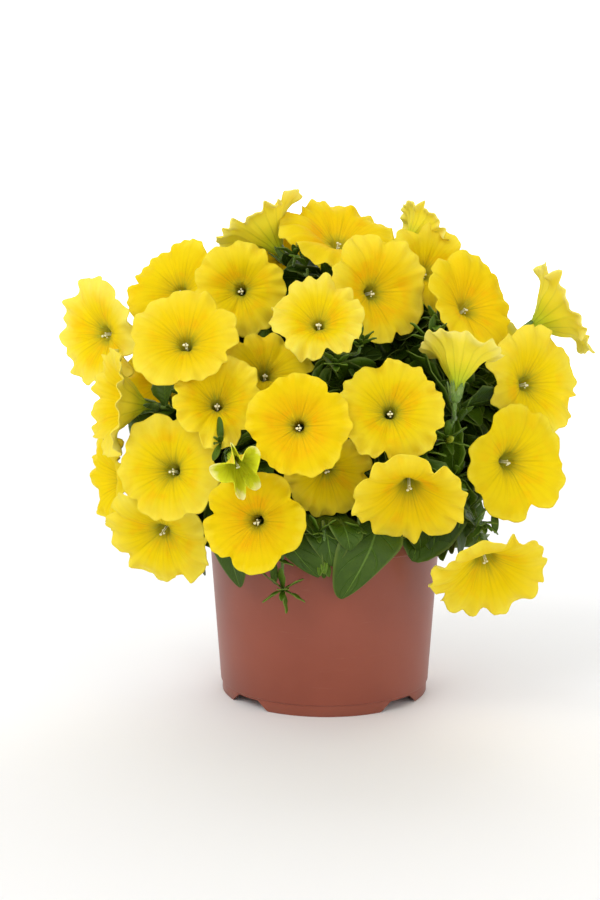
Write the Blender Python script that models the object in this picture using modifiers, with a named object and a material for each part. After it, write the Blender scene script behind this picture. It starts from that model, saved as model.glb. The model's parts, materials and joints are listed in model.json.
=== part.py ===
"""Potted petunia: a plastic nursery pot on four notched feet, its compost, leafy shoots and trumpet flowers.

Metres, +Z up. The origin is on the pot's axis, on the floor that the feet stand on, and the front
faces -Y. Every flower is one closed trumpet whose tube sits in the green calyx cup of its shoot.
Every shoot stands on the compost on its own stem and carries the calyx cups and leaves as one body.
"""

import math

import bmesh
import bpy
from mathutils import Vector
from mathutils.bvhtree import BVHTree

MM = 0.001
GAP = 0.3 * MM  # between pieces that touch on the real plant

# The pot
POT_HEIGHT = 100 * MM
RIM_RADIUS = 67.5 * MM
COLLAR_HEIGHT = 15 * MM
COLLAR_STEP = 1.5 * MM
BASE_RADIUS = 60.3 * MM
FOOT_RADIUS = 59.4 * MM
SEAM_HEIGHT = 6.2 * MM
WALL = 1.5 * MM
FLOOR_UNDERSIDE = 5.6 * MM
FLOOR_TOP = 7.4 * MM
POT_STEPS = 36
NOTCHES = 4
NOTCH_HEIGHT = 5.1 * MM
NOTCH_TOP_ANGLE = 15
NOTCH_BOTTOM_ANGLE = 40
DRAIN_RADIUS = 4 * MM
DRAIN_CIRCLE = 36 * MM

# The compost
SOIL_HEIGHT = 90 * MM

# The trumpet flowers
TUBE_LENGTH = 30 * MM
TUBE_RADIUS = 2 * MM
PETAL_THICKNESS = 0.8 * MM
FLOWER_STEPS = 10
NOTCH_BETWEEN_PETALS = 0.07
CALYX_DEPTH = 5 * MM
CALYX_STEPS = 5
LONGEST_SLIDE = 25  # millimetres that a flower may move forward to stand clear of the others

# The shoots
STEM_RADIUS = 1.6 * MM
PEDICEL_RADIUS = 1.0 * MM
CROWN_RADIUS = 17 * MM
LEAF_THICKNESS = 0.8 * MM
GOLDEN_ANGLE = 137.5
STEM_POINTS = 9
STRAIGHT_FOOT = 5 * MM
STEM_AIM = 14 * MM  # behind its flowers' tubes, where a stem is headed
STEM_SHARE = 0.92  # of the way there, where it ends
PEDICEL_POINTS = 4
PEDICEL_START = 24 * MM  # behind the flower's tube: the stalk leaves the stem nearest to there
CALYX_FOOT = 1.6 * MM  # behind the flower's tube, inside the calyx cup, where the stalk ends
LEAF_LENGTH = 34 * MM  # of the lowest leaf on a stem; each higher one is LEAF_STEP shorter
LEAF_STEP = 2.2 * MM
LEAF_SHAPE = 0.56  # a blade's width as a share of its length
LEAF_PETIOLE = 0.12  # the share of a stem leaf's length that is stalk
RIM_PETIOLE = 0.45  # the same for a leaf that reaches over the rim
MIDRIB_POINTS = 13
SLIVER = 0.02 * MM

# Each shoot: the azimuth at which it leaves the crown, how high it climbs before it leans out, its
# number of leaves, and its flowers. A flower is the middle of its mouth (x, y, z), its width, its
# heading (degrees from the front, -Y, toward +X) and its tilt above the horizontal. Millimetres.
SHOOTS = {
    "left_low": (-78, 34, 6, [
        (-90, -54, 93, 60, -18, -26),
        (-125, -25, 122, 54, -60, 0),
    ]),
    "left": (-104, 50, 7, [
        (-119, -45, 168, 58, -62, 8),
        (-97, -10, 178, 48, -35, 8),
    ]),
    "front_left_low": (-52, 30, 6, [
        (-82, -70, 134, 58, -16, 12),
        (-36, -84, 108, 51, -10, 5),
        (-41, -98, 136, 27, 15, -12),
    ]),
    "front_left": (-30, 60, 6, [
        (-54, -74, 169, 48, 8, 22),
        (-72, -66, 201, 57, 0, 27),
        (-30, -56, 186, 50, 10, 28),
    ]),
    "front": (-4, 50, 6, [
        (-13, -95, 157, 51, -2, 6),
        (-3, -75, 212, 47, 0, 29),
        (3, -71, 129, 48, 10, -20),
    ]),
    "front_right": (24, 40, 6, [
        (33, -85, 165, 54, 0, 14),
        (42, -92, 117, 58, -3, -38),
    ]),
    "right_low": (52, 32, 6, [
        (86, -70, 76, 62, 10, -42),
        (104, -50, 135, 63, 28, 0),
    ]),
    "right": (80, 52, 7, [
        (116, -30, 178, 60, 30, 8),
        (71, -58, 198, 42, 150, 75),
        (140, 5, 221, 62, 90, 30),
    ]),
    "right_high": (108, 70, 6, [
        (83, -25, 222, 60, 36, 24),
        (60, -5, 243, 52, 20, 20),
        (55, 14, 264, 36, 120, 38),
    ]),
    "top": (135, 90, 5, [
        (9, -20, 262, 67, 15, 52),
        (30, -50, 226, 58, 30, 4),
    ]),
    "top_left": (-130, 80, 6, [
        (-39, -5, 270, 55, -100, 55),
        (-28, 18, 254, 40, -10, 15),
        (-46, -35, 229, 52, 0, 5),
        (-85, -15, 233, 56, -18, 25),
        (-131, -15, 204, 62, -36, -5),
    ]),
    "back_left": (-152, 45, 8, [
        (-96, 45, 208, 54, -120, 15),
        (-45, 70, 230, 52, -155, 25),
        (-86, 72, 154, 54, -135, 0),
        (-40, 88, 170, 52, -168, 8),
    ]),
    "back": (178, 55, 8, [
        (9, 58, 250, 54, 175, 40),
        (20, 92, 191, 54, 170, 12),
        (0, 106, 127, 52, 180, -8),
    ]),
    "back_right": (154, 45, 8, [
        (61, 62, 226, 54, 150, 20),
        (110, 62, 194, 54, 125, 10),
        (86, 75, 154, 54, 140, 0),
    ]),
}

# The broad leaves that hang over the pot's rim: shoot, a point over the rim, the tip, and the width.
RIM_LEAVES = [
    ("front_left_low", (-60, -38, 107), (-65, -40, 72), 20),
    ("front_left_low", (-46, -54, 106), (-44, -62, 70), 24),
    ("front", (-22, -64, 105), (-3, -75, 78), 26),
    ("front_right", (27, -63, 105), (9, -75, 67), 32),
    ("right_low", (42, -55, 107), (50, -58, 88), 16),
    ("right_low", (61, -38, 108), (73, -42, 84), 22),
    ("left_low", (-70, 8, 108), (-81, 12, 80), 23),
    ("back_left", (-35, 63, 108), (-38, 68, 76), 24),
    ("back_right", (36, 62, 108), (38, 68, 76), 24),
]


def new_collection(name, hidden=False):
    collection = bpy.data.collections.new(name)
    collection.hide_render = hidden
    bpy.context.scene.collection.children.link(collection)
    return collection


def new_material(name, colour, roughness):
    material = bpy.data.materials.new(name)
    material.use_nodes = True
    shader = material.node_tree.nodes["Principled BSDF"]
    shader.inputs["Base Color"].default_value = (*colour, 1)
    shader.inputs["Roughness"].default_value = roughness
    return material


def add_object(name, mesh, collection, material=None):
    obj = bpy.data.objects.new(name, mesh)
    collection.objects.link(obj)
    if material:
        mesh.materials.append(material)
    return obj


def as_mesh(helper):
    """The evaluated mesh of a helper object, with its doubles merged. The helper is removed."""
    bpy.context.view_layer.update()
    graph = bpy.context.evaluated_depsgraph_get()
    mesh = bpy.data.meshes.new_from_object(helper.evaluated_get(graph))
    bpy.data.objects.remove(helper)
    shape = bmesh.new()
    shape.from_mesh(mesh)
    bmesh.ops.remove_doubles(shape, verts=shape.verts, dist=0.002 * MM)
    shape.to_mesh(mesh)
    shape.free()
    return mesh


def turned(profile, steps):
    """A closed mesh: the profile's (radius, height) points turned round the Z axis."""
    line = bpy.data.meshes.new("profile")
    ends = [(i, i + 1) for i in range(len(profile) - 1)]
    line.from_pydata([(radius, 0, height) for radius, height in profile], ends, [])
    helper = add_object("profile", line, bpy.context.scene.collection)
    screw = helper.modifiers.new("turn", "SCREW")
    screw.steps = screw.render_steps = steps
    screw.use_merge_vertices = True
    screw.merge_threshold = 0.01 * MM
    return as_mesh(helper)


def tube(points, radius, resolution):
    """A closed round tube along points, a little thinner at its far end."""
    curve = bpy.data.curves.new("tube", "CURVE")
    curve.dimensions = "3D"
    curve.bevel_depth = radius
    curve.bevel_resolution = resolution
    curve.use_fill_caps = True
    spline = curve.splines.new("POLY")
    spline.points.add(len(points) - 1)
    for i, place in enumerate(points):
        spline.points[i].co = (*place, 1)
        spline.points[i].radius = 1 - 0.2 * i / len(points)
    return as_mesh(add_object("tube", curve, bpy.context.scene.collection))


def bezier(start, first, second, end, count):
    """Points along a cubic curve from start to end, which leaves toward first and arrives from second."""
    points = []
    for i in range(count):
        t = i / (count - 1)
        s = 1 - t
        points.append(s**3 * start + 3 * s * s * t * first + 3 * s * t * t * second + t**3 * end)
    return points


def heading_vector(heading, tilt):
    """The unit vector that faces heading (degrees from -Y toward +X) and rises by tilt degrees."""
    h, t = math.radians(heading), math.radians(tilt)
    return Vector((math.sin(h) * math.cos(t), -math.cos(h) * math.cos(t), math.sin(t)))


def bvh(obj):
    points = [obj.matrix_world @ v.co for v in obj.data.vertices]
    return BVHTree.FromPolygons(points, [p.vertices for p in obj.data.polygons])


def clashes(tree, trees):
    return any(tree.overlap(other) for other in trees)


def pot_wall():
    """Outside of the pot from the top down, underside, then inside from the floor up."""
    under_collar = RIM_RADIUS - COLLAR_STEP
    collar_foot = POT_HEIGHT - COLLAR_HEIGHT
    edge = 0.6 * MM
    return [
        (RIM_RADIUS - WALL + edge, POT_HEIGHT),
        (RIM_RADIUS - edge, POT_HEIGHT),
        (RIM_RADIUS, POT_HEIGHT - edge),
        (RIM_RADIUS, collar_foot + edge),
        (under_collar, collar_foot),
        (BASE_RADIUS, SEAM_HEIGHT + edge),
        (FOOT_RADIUS, SEAM_HEIGHT),
        (FOOT_RADIUS, 0),
        (FOOT_RADIUS - WALL, 0),
        (FOOT_RADIUS - WALL, FLOOR_UNDERSIDE),
        (0, FLOOR_UNDERSIDE),
        (0, FLOOR_TOP),
        (BASE_RADIUS - WALL, FLOOR_TOP),
        (under_collar - WALL, collar_foot),
        (RIM_RADIUS - WALL, collar_foot + COLLAR_STEP),
        (RIM_RADIUS - WALL, POT_HEIGHT - edge),
        (RIM_RADIUS - WALL + edge, POT_HEIGHT),
    ]


def notch_cutter(angle, helpers):
    """A wedge, wide at the floor and narrow at its top, that leaves a gap between two feet."""
    bpy.ops.mesh.primitive_cube_add(size=1)
    cutter = bpy.context.object
    cutter.name = f"notch_cutter_{angle}"
    for vertex in cutter.data.vertices:
        upper = vertex.co.z > 0
        arc = math.radians(NOTCH_TOP_ANGLE if upper else NOTCH_BOTTOM_ANGLE)
        vertex.co.y = math.copysign(FOOT_RADIUS * math.tan(arc / 2), vertex.co.y)
        vertex.co.x = FOOT_RADIUS + vertex.co.x * 10 * WALL
        vertex.co.z = NOTCH_HEIGHT if upper else -NOTCH_HEIGHT
    cutter.rotation_euler.z = math.radians(angle)
    into_helpers(cutter, helpers)


def drain_cutter(place, helpers):
    bpy.ops.mesh.primitive_cylinder_add(vertices=10, radius=DRAIN_RADIUS, depth=4 * FLOOR_TOP, location=place)
    cutter = bpy.context.object
    cutter.name = "drain_cutter"
    into_helpers(cutter, helpers)


def into_helpers(obj, helpers):
    for collection in obj.users_collection:
        collection.objects.unlink(obj)
    helpers.objects.link(obj)
    as_helper(obj)


def as_helper(obj):
    obj.hide_render = True
    obj.display_type = "WIRE"


def cut_pot(pot):
    """The gaps between the feet and the drain holes."""
    helpers = new_collection("pot_cutters", hidden=True)
    for i in range(NOTCHES):
        notch_cutter(45 + i * 360 // NOTCHES, helpers)
        around = math.radians(i * 360 / NOTCHES)
        drain_cutter((DRAIN_CIRCLE * math.cos(around), DRAIN_CIRCLE * math.sin(around), 0), helpers)
    drain_cutter((0, 0, 0), helpers)
    join(pot, helpers, "DIFFERENCE")


def join(obj, operands, operation):
    boolean = obj.modifiers.new(operation.lower(), "BOOLEAN")
    boolean.operation = operation
    boolean.operand_type = "COLLECTION"
    boolean.collection = operands


def make_soil(parts, material):
    """The compost: the inside of the pot, a gap clear of it, with a low dome on top."""
    under_collar = RIM_RADIUS - COLLAR_STEP - WALL - GAP
    profile = [
        (0, SOIL_HEIGHT),
        (0.8 * under_collar, SOIL_HEIGHT),
        (under_collar, SOIL_HEIGHT - 3 * MM),
        (BASE_RADIUS - WALL - GAP, FLOOR_TOP + GAP),
        (0, FLOOR_TOP + GAP),
    ]
    return add_object("soil", turned(profile, POT_STEPS), parts, material)


def corolla_profile(radius):
    """Inside of the trumpet from its throat out to the petals' edge, then down its outside."""
    lift = PETAL_THICKNESS
    throat = max(TUBE_RADIUS, 0.16 * radius)
    return [
        (0, -17 * MM),
        (throat, -9.4 * MM),
        (0.45 * radius, -3.4 * MM + lift),
        (radius, lift),
        (radius, 0),
        (0.45 * radius + lift / 2, -3.4 * MM),
        (throat + lift, -11 * MM),
        (TUBE_RADIUS, -TUBE_LENGTH),
        (0, -TUBE_LENGTH),
    ]


def corolla_mesh(radius):
    """Five joined petals: the edge dips between two petals."""
    mesh = turned(corolla_profile(radius), FLOWER_STEPS)
    for vertex in mesh.vertices:
        out = Vector((vertex.co.x, vertex.co.y)).length
        share = max(0, out / radius - 0.5) * 2
        dip = NOTCH_BETWEEN_PETALS * share * (1 - math.cos(5 * math.atan2(vertex.co.y, vertex.co.x))) / 2
        vertex.co.x *= 1 - dip
        vertex.co.y *= 1 - dip
    return mesh


def place_flowers(parts, material):
    """Each flower slides forward along its own axis until it is clear of those deeper in the plant."""
    heart = Vector((0, 0, 1.3 * POT_HEIGHT))
    table = []
    for shoot, (_, _, _, flowers) in SHOOTS.items():
        for x, y, z, width, heading, tilt in flowers:
            table.append((shoot, Vector((x, y, z)) * MM, width * MM, heading_vector(heading, tilt)))
    names = {i: f"flower_{i + 1:02d}" for i in range(len(table))}
    order = sorted(names, key=lambda i: (table[i][1] - heart).length)
    trees, placed = [], {}
    for i in order:
        shoot, middle, width, facing = table[i]
        flower = add_object(names[i], corolla_mesh(width / 2), parts, material)
        flower.rotation_mode = "QUATERNION"
        flower.rotation_quaternion = facing.to_track_quat("Z", "Y")
        for step in range(LONGEST_SLIDE):
            flower.location = middle + step * MM * facing
            bpy.context.view_layer.update()
            tree = bvh(flower)
            if not clashes(tree, [other for _, other in trees]):
                break
        else:
            print("no free place for", names[i])
        if step:
            print(names[i], "of", shoot, "slid forward", step, "mm")
        trees.append((names[i], tree))
        placed.setdefault(shoot, []).append((names[i], flower.location - TUBE_LENGTH * facing, facing))
    for flowers in placed.values():
        flowers.sort()
    return placed, trees


def stem_route(azimuth, climb, flowers):
    """From the compost up, then out toward the middle of the shoot's flowers."""
    out = heading_vector(azimuth, 0)
    start = CROWN_RADIUS * out + Vector((0, 0, SOIL_HEIGHT + GAP))
    aim = Vector()
    for _, base, facing in flowers:
        aim += (base - STEM_AIM * facing) / len(flowers)
    end = start.lerp(aim, STEM_SHARE)
    above = Vector((0, 0, climb * MM))
    knee = start + Vector((0, 0, STRAIGHT_FOOT))
    bow = bezier(knee, knee + 0.6 * above, start.lerp(end, 0.6) + 0.6 * above, end, STEM_POINTS - 1)
    return [start] + bow


def pedicel_route(stem, base, facing):
    """From the stem's point nearest to behind the flower, into the foot of its calyx."""
    behind = base - PEDICEL_START * facing
    i = min(range(2, len(stem) - 1), key=lambda k: (stem[k] - behind).length)
    foot = base - CALYX_FOOT * facing
    reach = (foot - stem[i]).length
    along = (stem[i] - stem[i - 1]).normalized() + (foot - stem[i]).normalized()
    return bezier(stem[i], stem[i] + 0.17 * reach * along, foot - 0.45 * reach * facing, foot, PEDICEL_POINTS)


def calyx_mesh():
    """A five-sided cup for the foot of the flower's tube: its upper corners are the sepals' tips."""
    profile = [
        (0, -GAP),
        (3.0 * MM, -GAP),
        (4.6 * MM, CALYX_DEPTH),
        (5.0 * MM, CALYX_DEPTH - 0.5 * MM),
        (3.6 * MM, -CALYX_FOOT),
        (0, -2.2 * MM),
    ]
    return turned(profile, CALYX_STEPS)


def leaf_width(t, petiole):
    """Half the blade's width, as a share of the most, at t along the midrib: stalk, then oval, then tip."""
    stalk = 0.12
    if t <= petiole:
        return stalk
    blade = (t - petiole) / (1 - petiole)
    return max(stalk * (1 - blade), math.sin(math.pi * blade**0.9) ** 0.8)


def leaf_mesh(start, middle, tip, width, petiole, rows):
    """A thin blade along a bowed midrib."""
    shape = bmesh.new()
    bmesh.ops.create_grid(shape, x_segments=1, y_segments=rows, size=1)
    route = bezier(start, start.lerp(middle, 0.67), tip.lerp(middle, 0.67), tip, MIDRIB_POINTS)
    side = (tip - start).cross(Vector((0, 0, 1)))
    if side.length < 0.1 * (tip - start).length:
        side = Vector((1, 0, 0))
    side.normalize()
    for vertex in shape.verts:
        across, t = vertex.co.x, (vertex.co.y + 1) / 2
        step = t * (MIDRIB_POINTS - 1)
        k = min(int(step), MIDRIB_POINTS - 2)
        place = route[k].lerp(route[k + 1], step - k)
        half = 0 if t > 0.999 else width / 2 * leaf_width(t, petiole)
        vertex.co = place + across * half * side
    bmesh.ops.remove_doubles(shape, verts=shape.verts, dist=0.002 * MM)
    mesh = bpy.data.meshes.new("leaf")
    shape.to_mesh(mesh)
    shape.free()
    helper = add_object("leaf", mesh, bpy.context.scene.collection)
    solidify = helper.modifiers.new("thickness", "SOLIDIFY")
    solidify.thickness = LEAF_THICKNESS
    solidify.offset = 0
    return as_mesh(helper)


def leaf_candidates(shoot, stem, count):
    """Leaves along a stem, each a golden angle round from the last: five tries at each place."""
    rounds = []
    for k in range(count):
        i = 1 + round((len(stem) - 3) * k / (count - 1))
        along = (stem[i + 1] - stem[i]).normalized()
        root = stem[i].lerp(stem[i + 1], 0.37)
        side = along.orthogonal().normalized()
        length = LEAF_LENGTH - k * LEAF_STEP + 4 * MM * math.sin(2.4 * k + len(shoot))
        tries = []
        for turn in (0, 70, -70, 140, 180):
            angle = math.radians(GOLDEN_ANGLE * k + 17 * len(shoot) + turn)
            out = side * math.cos(angle) + along.cross(side) * math.sin(angle)
            leaning = (0.85 * out + 0.45 * along).normalized()
            tip = root + length * (leaning + Vector((0, 0, -0.18)))
            middle = root + 0.5 * length * (leaning + Vector((0, 0, 0.12)))
            tries.append((root, middle, tip, LEAF_SHAPE * length))
        rounds.append(tries)
    return rounds


def grow_stem(shoot, flowers, parts, helpers, material):
    """The stem of a shoot, and in its helpers the pedicels and calyx cups that it carries."""
    azimuth, climb, _, _ = SHOOTS[shoot]
    stem = stem_route(azimuth, climb, flowers)
    own = add_object(f"shoot_{shoot}", tube(stem, STEM_RADIUS, 1), parts, material)
    pieces = [own]
    for name, base, facing in flowers:
        route = pedicel_route(stem, base, facing)
        pieces.append(add_object(f"{name}_pedicel", tube(route, PEDICEL_RADIUS, 0), helpers))
        calyx = add_object(f"{name}_calyx", calyx_mesh(), helpers)
        calyx.rotation_mode = "QUATERNION"
        calyx.rotation_quaternion = facing.to_track_quat("Z", "Y")
        calyx.location = base
        pieces.append(calyx)
    bpy.context.view_layer.update()
    return stem, own, [(piece.name, bvh(piece)) for piece in pieces]


def say_clashes(name, tree, others):
    for other_name, other in others:
        if tree.overlap(other):
            print("clash:", name, "with", other_name)


def hang_rim_leaves(shoot, stem, helpers, others):
    """The broad leaves of this shoot that bow over the pot's rim on a long stalk."""
    trees = []
    for _, over_rim, tip, width in (leaf for leaf in RIM_LEAVES if leaf[0] == shoot):
        middle, tip = Vector(over_rim) * MM, Vector(tip) * MM
        bow = 2 * middle - 0.5 * (stem[2] + tip)
        mesh = leaf_mesh(stem[2], bow, tip, width * MM, RIM_PETIOLE, 6)
        leaf = add_object(f"{shoot}_rim_leaf", mesh, helpers)
        trees.append((leaf.name, bvh(leaf)))
        say_clashes(*trees[-1], others)
    return trees


def grow_leaves(shoot, stem, helpers, others):
    """Each leaf takes the first of its tries that is clear of everything outside its own shoot."""
    trees = []
    candidates = leaf_candidates(shoot, stem, SHOOTS[shoot][2])
    for tries in candidates:
        for start, middle, tip, width in tries:
            leaf = add_object(f"{shoot}_leaf", leaf_mesh(start, middle, tip, width, LEAF_PETIOLE, 3), helpers)
            tree = bvh(leaf)
            if not clashes(tree, [other for _, other in others]):
                trees.append((leaf.name, tree))
                break
            bpy.data.objects.remove(leaf)
    print(f"shoot_{shoot}: {len(trees)} of {len(candidates)} leaves")
    return trees


def others_of(shoot, trees, solids):
    """Everything placed so far that isn't part of this shoot."""
    return solids + [tree for other in trees if other != shoot for tree in trees[other]]


def main():
    for obj in list(bpy.data.objects):
        bpy.data.objects.remove(obj)
    parts = new_collection("potted_petunia")
    terracotta = new_material("terracotta_plastic", (0.29, 0.08, 0.04), 0.45)
    compost = new_material("compost", (0.03, 0.018, 0.01), 0.95)
    green = new_material("petunia_green", (0.06, 0.16, 0.02), 0.55)
    yellow = new_material("petunia_yellow", (0.85, 0.62, 0.01), 0.5)
    pot = add_object("pot", turned(pot_wall(), POT_STEPS), parts, terracotta)
    soil = make_soil(parts, compost)
    placed, flower_trees = place_flowers(parts, yellow)
    solids = flower_trees + [("pot", bvh(pot)), ("soil", bvh(soil))]
    stems, owners, helpers, trees = {}, {}, {}, {}
    for shoot in SHOOTS:
        helpers[shoot] = new_collection(f"{shoot}_joined", hidden=True)
        grown = grow_stem(shoot, placed[shoot], parts, helpers[shoot], green)
        stems[shoot], owners[shoot], trees[shoot] = grown
        for name, tree in trees[shoot]:
            say_clashes(name, tree, others_of(shoot, trees, solids))
    for grow in (hang_rim_leaves, grow_leaves):
        for shoot in SHOOTS:
            others = others_of(shoot, trees, solids)
            trees[shoot] += grow(shoot, stems[shoot], helpers[shoot], others)
    for shoot in SHOOTS:
        for piece in helpers[shoot].objects:
            as_helper(piece)
        join(owners[shoot], helpers[shoot], "UNION")
        weld = owners[shoot].modifiers.new("slivers", "WELD")
        weld.merge_threshold = SLIVER
    cut_pot(pot)
    for obj in parts.objects:
        obj.data.shade_smooth()


main()
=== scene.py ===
# %% [markdown]
# # A petunia in a nursery pot
# This notebook dresses a packed construction model with its finished surfaces. The frame gives the
# pot, the compost, forty flowers and fourteen leafy shoots at their real size and place, in metres.
# Every piece made here is put where its frame node is, and then stands for that node.

# %% Load the frame
import json
import math
import random

import bpy
import numpy as np
from mathutils import Matrix, Vector, noise
from mathutils.bvhtree import BVHTree

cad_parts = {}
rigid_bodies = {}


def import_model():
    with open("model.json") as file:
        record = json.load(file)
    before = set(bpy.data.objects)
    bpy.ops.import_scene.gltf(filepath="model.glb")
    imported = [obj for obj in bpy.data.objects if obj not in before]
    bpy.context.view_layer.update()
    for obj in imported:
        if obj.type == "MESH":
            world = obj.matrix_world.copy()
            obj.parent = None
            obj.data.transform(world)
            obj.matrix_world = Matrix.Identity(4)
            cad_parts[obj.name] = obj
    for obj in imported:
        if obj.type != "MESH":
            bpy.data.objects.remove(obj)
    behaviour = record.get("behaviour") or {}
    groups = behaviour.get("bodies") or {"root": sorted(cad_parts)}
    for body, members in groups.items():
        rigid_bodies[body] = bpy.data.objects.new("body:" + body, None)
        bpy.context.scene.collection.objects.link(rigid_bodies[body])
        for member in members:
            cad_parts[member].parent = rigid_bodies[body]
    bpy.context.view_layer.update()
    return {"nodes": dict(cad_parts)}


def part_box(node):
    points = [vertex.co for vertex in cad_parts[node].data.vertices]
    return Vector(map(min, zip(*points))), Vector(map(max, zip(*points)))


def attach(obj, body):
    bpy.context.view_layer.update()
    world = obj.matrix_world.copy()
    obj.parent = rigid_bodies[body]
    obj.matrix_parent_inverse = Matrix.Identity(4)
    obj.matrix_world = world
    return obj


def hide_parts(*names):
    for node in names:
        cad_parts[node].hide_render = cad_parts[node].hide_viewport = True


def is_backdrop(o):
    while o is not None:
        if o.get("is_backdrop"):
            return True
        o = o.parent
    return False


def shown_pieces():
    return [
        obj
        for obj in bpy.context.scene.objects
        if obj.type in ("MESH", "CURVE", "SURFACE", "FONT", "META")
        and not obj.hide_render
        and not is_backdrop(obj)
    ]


for startup in list(bpy.data.objects):
    bpy.data.objects.remove(startup)
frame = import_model()
MM = 0.001
print("frame nodes:", len(frame["nodes"]))

# %% [markdown]
# ## The camera
# It stands a little above the pot's rim in front of the plant and looks slightly down, so that the
# pot's foot shows as a flat ellipse. A lens of about 42 mm on a 36 mm sensor sees much as an eye does.

# %% Camera
bpy.ops.object.camera_add(location=(0, -0.600, 0.180))
camera = bpy.context.object
camera.rotation_euler = (math.radians(86), 0, math.radians(1.35))
camera.data.lens = 41.6
camera.data.clip_start = 0.01
bpy.context.scene.camera = camera
bpy.context.scene.view_settings.view_transform = "Standard"

# %% [markdown]
# ## The plant's plan
# A petunia grows as leafy shoots from one crown. Each shoot below has the azimuth at which it leaves
# the crown, how far it climbs, and its number of leaves. Each flower has the middle of its mouth, its
# width, its heading from the front, and its tilt. They are the same values as the frame's.

# %% Shoots and flowers, in millimetres and degrees
SHOOTS = {
    "left_low": (-78, 34, 6, [
        (-90, -54, 93, 60, -18, -26),
        (-125, -25, 122, 54, -60, 0),
    ]),
    "left": (-104, 50, 7, [
        (-119, -45, 168, 58, -62, 8),
        (-97, -10, 178, 48, -35, 8),
    ]),
    "front_left_low": (-52, 30, 6, [
        (-82, -70, 134, 58, -16, 12),
        (-36, -84, 108, 51, -10, 5),
        (-41, -98, 136, 27, 15, -12),
    ]),
    "front_left": (-30, 60, 6, [
        (-54, -74, 169, 48, 8, 22),
        (-72, -66, 201, 57, 0, 27),
        (-30, -56, 186, 50, 10, 28),
    ]),
    "front": (-4, 50, 6, [
        (-13, -95, 157, 51, -2, 6),
        (-3, -75, 212, 47, 0, 29),
        (3, -71, 129, 48, 10, -20),
    ]),
    "front_right": (24, 40, 6, [
        (33, -85, 165, 54, 0, 14),
        (42, -92, 117, 58, -3, -38),
    ]),
    "right_low": (52, 32, 6, [
        (86, -70, 76, 62, 10, -42),
        (104, -50, 135, 63, 28, 0),
    ]),
    "right": (80, 52, 7, [
        (116, -30, 178, 60, 30, 8),
        (71, -58, 198, 42, 150, 75),
        (140, 5, 221, 62, 90, 30),
    ]),
    "right_high": (108, 70, 6, [
        (83, -25, 222, 60, 36, 24),
        (60, -5, 243, 52, 20, 20),
        (55, 14, 264, 36, 120, 38),
    ]),
    "top": (135, 90, 5, [
        (9, -20, 262, 67, 15, 52),
        (30, -50, 226, 58, 30, 4),
    ]),
    "top_left": (-130, 80, 6, [
        (-39, -5, 270, 55, -100, 55),
        (-28, 18, 254, 40, -10, 15),
        (-46, -35, 229, 52, 0, 5),
        (-85, -15, 233, 56, -18, 25),
        (-131, -15, 204, 62, -36, -5),
    ]),
    "back_left": (-152, 45, 8, [
        (-96, 45, 208, 54, -120, 15),
        (-45, 70, 230, 52, -155, 25),
        (-86, 72, 154, 54, -135, 0),
        (-40, 88, 170, 52, -168, 8),
    ]),
    "back": (178, 55, 8, [
        (9, 58, 250, 54, 175, 40),
        (20, 92, 191, 54, 170, 12),
        (0, 106, 127, 52, 180, -8),
    ]),
    "back_right": (154, 45, 8, [
        (61, 62, 226, 54, 150, 20),
        (110, 62, 194, 54, 125, 10),
        (86, 75, 154, 54, 140, 0),
    ]),
}
RIM_LEAVES = [
    ("front_left_low", (-60, -38, 107), (-65, -40, 72), 20),
    ("front_left_low", (-46, -54, 106), (-44, -62, 70), 24),
    ("front", (-22, -64, 105), (-3, -75, 78), 26),
    ("front_right", (27, -63, 105), (9, -75, 67), 32),
    ("right_low", (42, -55, 107), (50, -58, 88), 16),
    ("right_low", (61, -38, 108), (73, -42, 84), 22),
    ("left_low", (-70, 8, 108), (-81, 12, 80), 23),
    ("back_left", (-35, 63, 108), (-38, 68, 76), 24),
    ("back_right", (36, 62, 108), (38, 68, 76), 24),
]
TUBE_LENGTH = 30 * MM
TUBE_RADIUS = 2 * MM
GAP = 0.3 * MM
SOIL_HEIGHT = 90 * MM
CROWN_RADIUS = 17 * MM
STRAIGHT_FOOT = 5 * MM
STEM_POINTS = 9
STEM_AIM = 14 * MM
STEM_SHARE = 0.92
STALK_START = 24 * MM
CALYX_FOOT = 1.6 * MM
GOLDEN_ANGLE = 137.5
LEAF_LENGTH = 34 * MM
LEAF_STEP = 2.2 * MM
LEAF_SHAPE = 0.56


def heading_vector(heading, tilt):
    """The unit vector that faces heading (degrees from -Y toward +X) and rises by tilt degrees."""
    h, t = math.radians(heading), math.radians(tilt)
    return Vector((math.sin(h) * math.cos(t), -math.cos(h) * math.cos(t), math.sin(t)))


def round_axis(along, side, angle):
    """The direction at angle from side, square to along."""
    return side * math.cos(angle) + along.cross(side) * math.sin(angle)


def tube_foot(node, facing):
    """The middle of a flower's tube end, which is the part of its node furthest back."""
    points = np.array([v.co for v in frame["nodes"][node].data.vertices])
    along = points @ np.array(facing)
    return Vector(points[along < along.min() + 0.1 * MM].mean(axis=0))


flowers, by_shoot = [], {}
for shoot, (_, _, _, rows) in SHOOTS.items():
    for x, y, z, width, heading, tilt in rows:
        name = f"flower_{len(flowers) + 1:02d}"
        facing = heading_vector(heading, tilt)
        flowers.append((name, tube_foot(name, facing), facing, width / 2 * MM))
        by_shoot.setdefault(shoot, []).append(flowers[-1])
print("flowers:", len(flowers), "on", len(by_shoot), "shoots")

# %% [markdown]
# ## Curves through space
# A stem rises from the compost, bends out, and ends among its flowers. A stalk leaves the stem and
# turns into line with its flower. A cubic curve does both: it leaves toward one point and arrives
# from another. The frame's stems use the same curves with fewer points.


# %% Stem and stalk routes
def bezier(start, first, second, end, count):
    """Points along a cubic curve from start to end, which leaves toward first and arrives from second."""
    points = []
    for i in range(count):
        t = i / (count - 1)
        s = 1 - t
        points.append(s**3 * start + 3 * s * s * t * first + 3 * s * t * t * second + t**3 * end)
    return points


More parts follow.
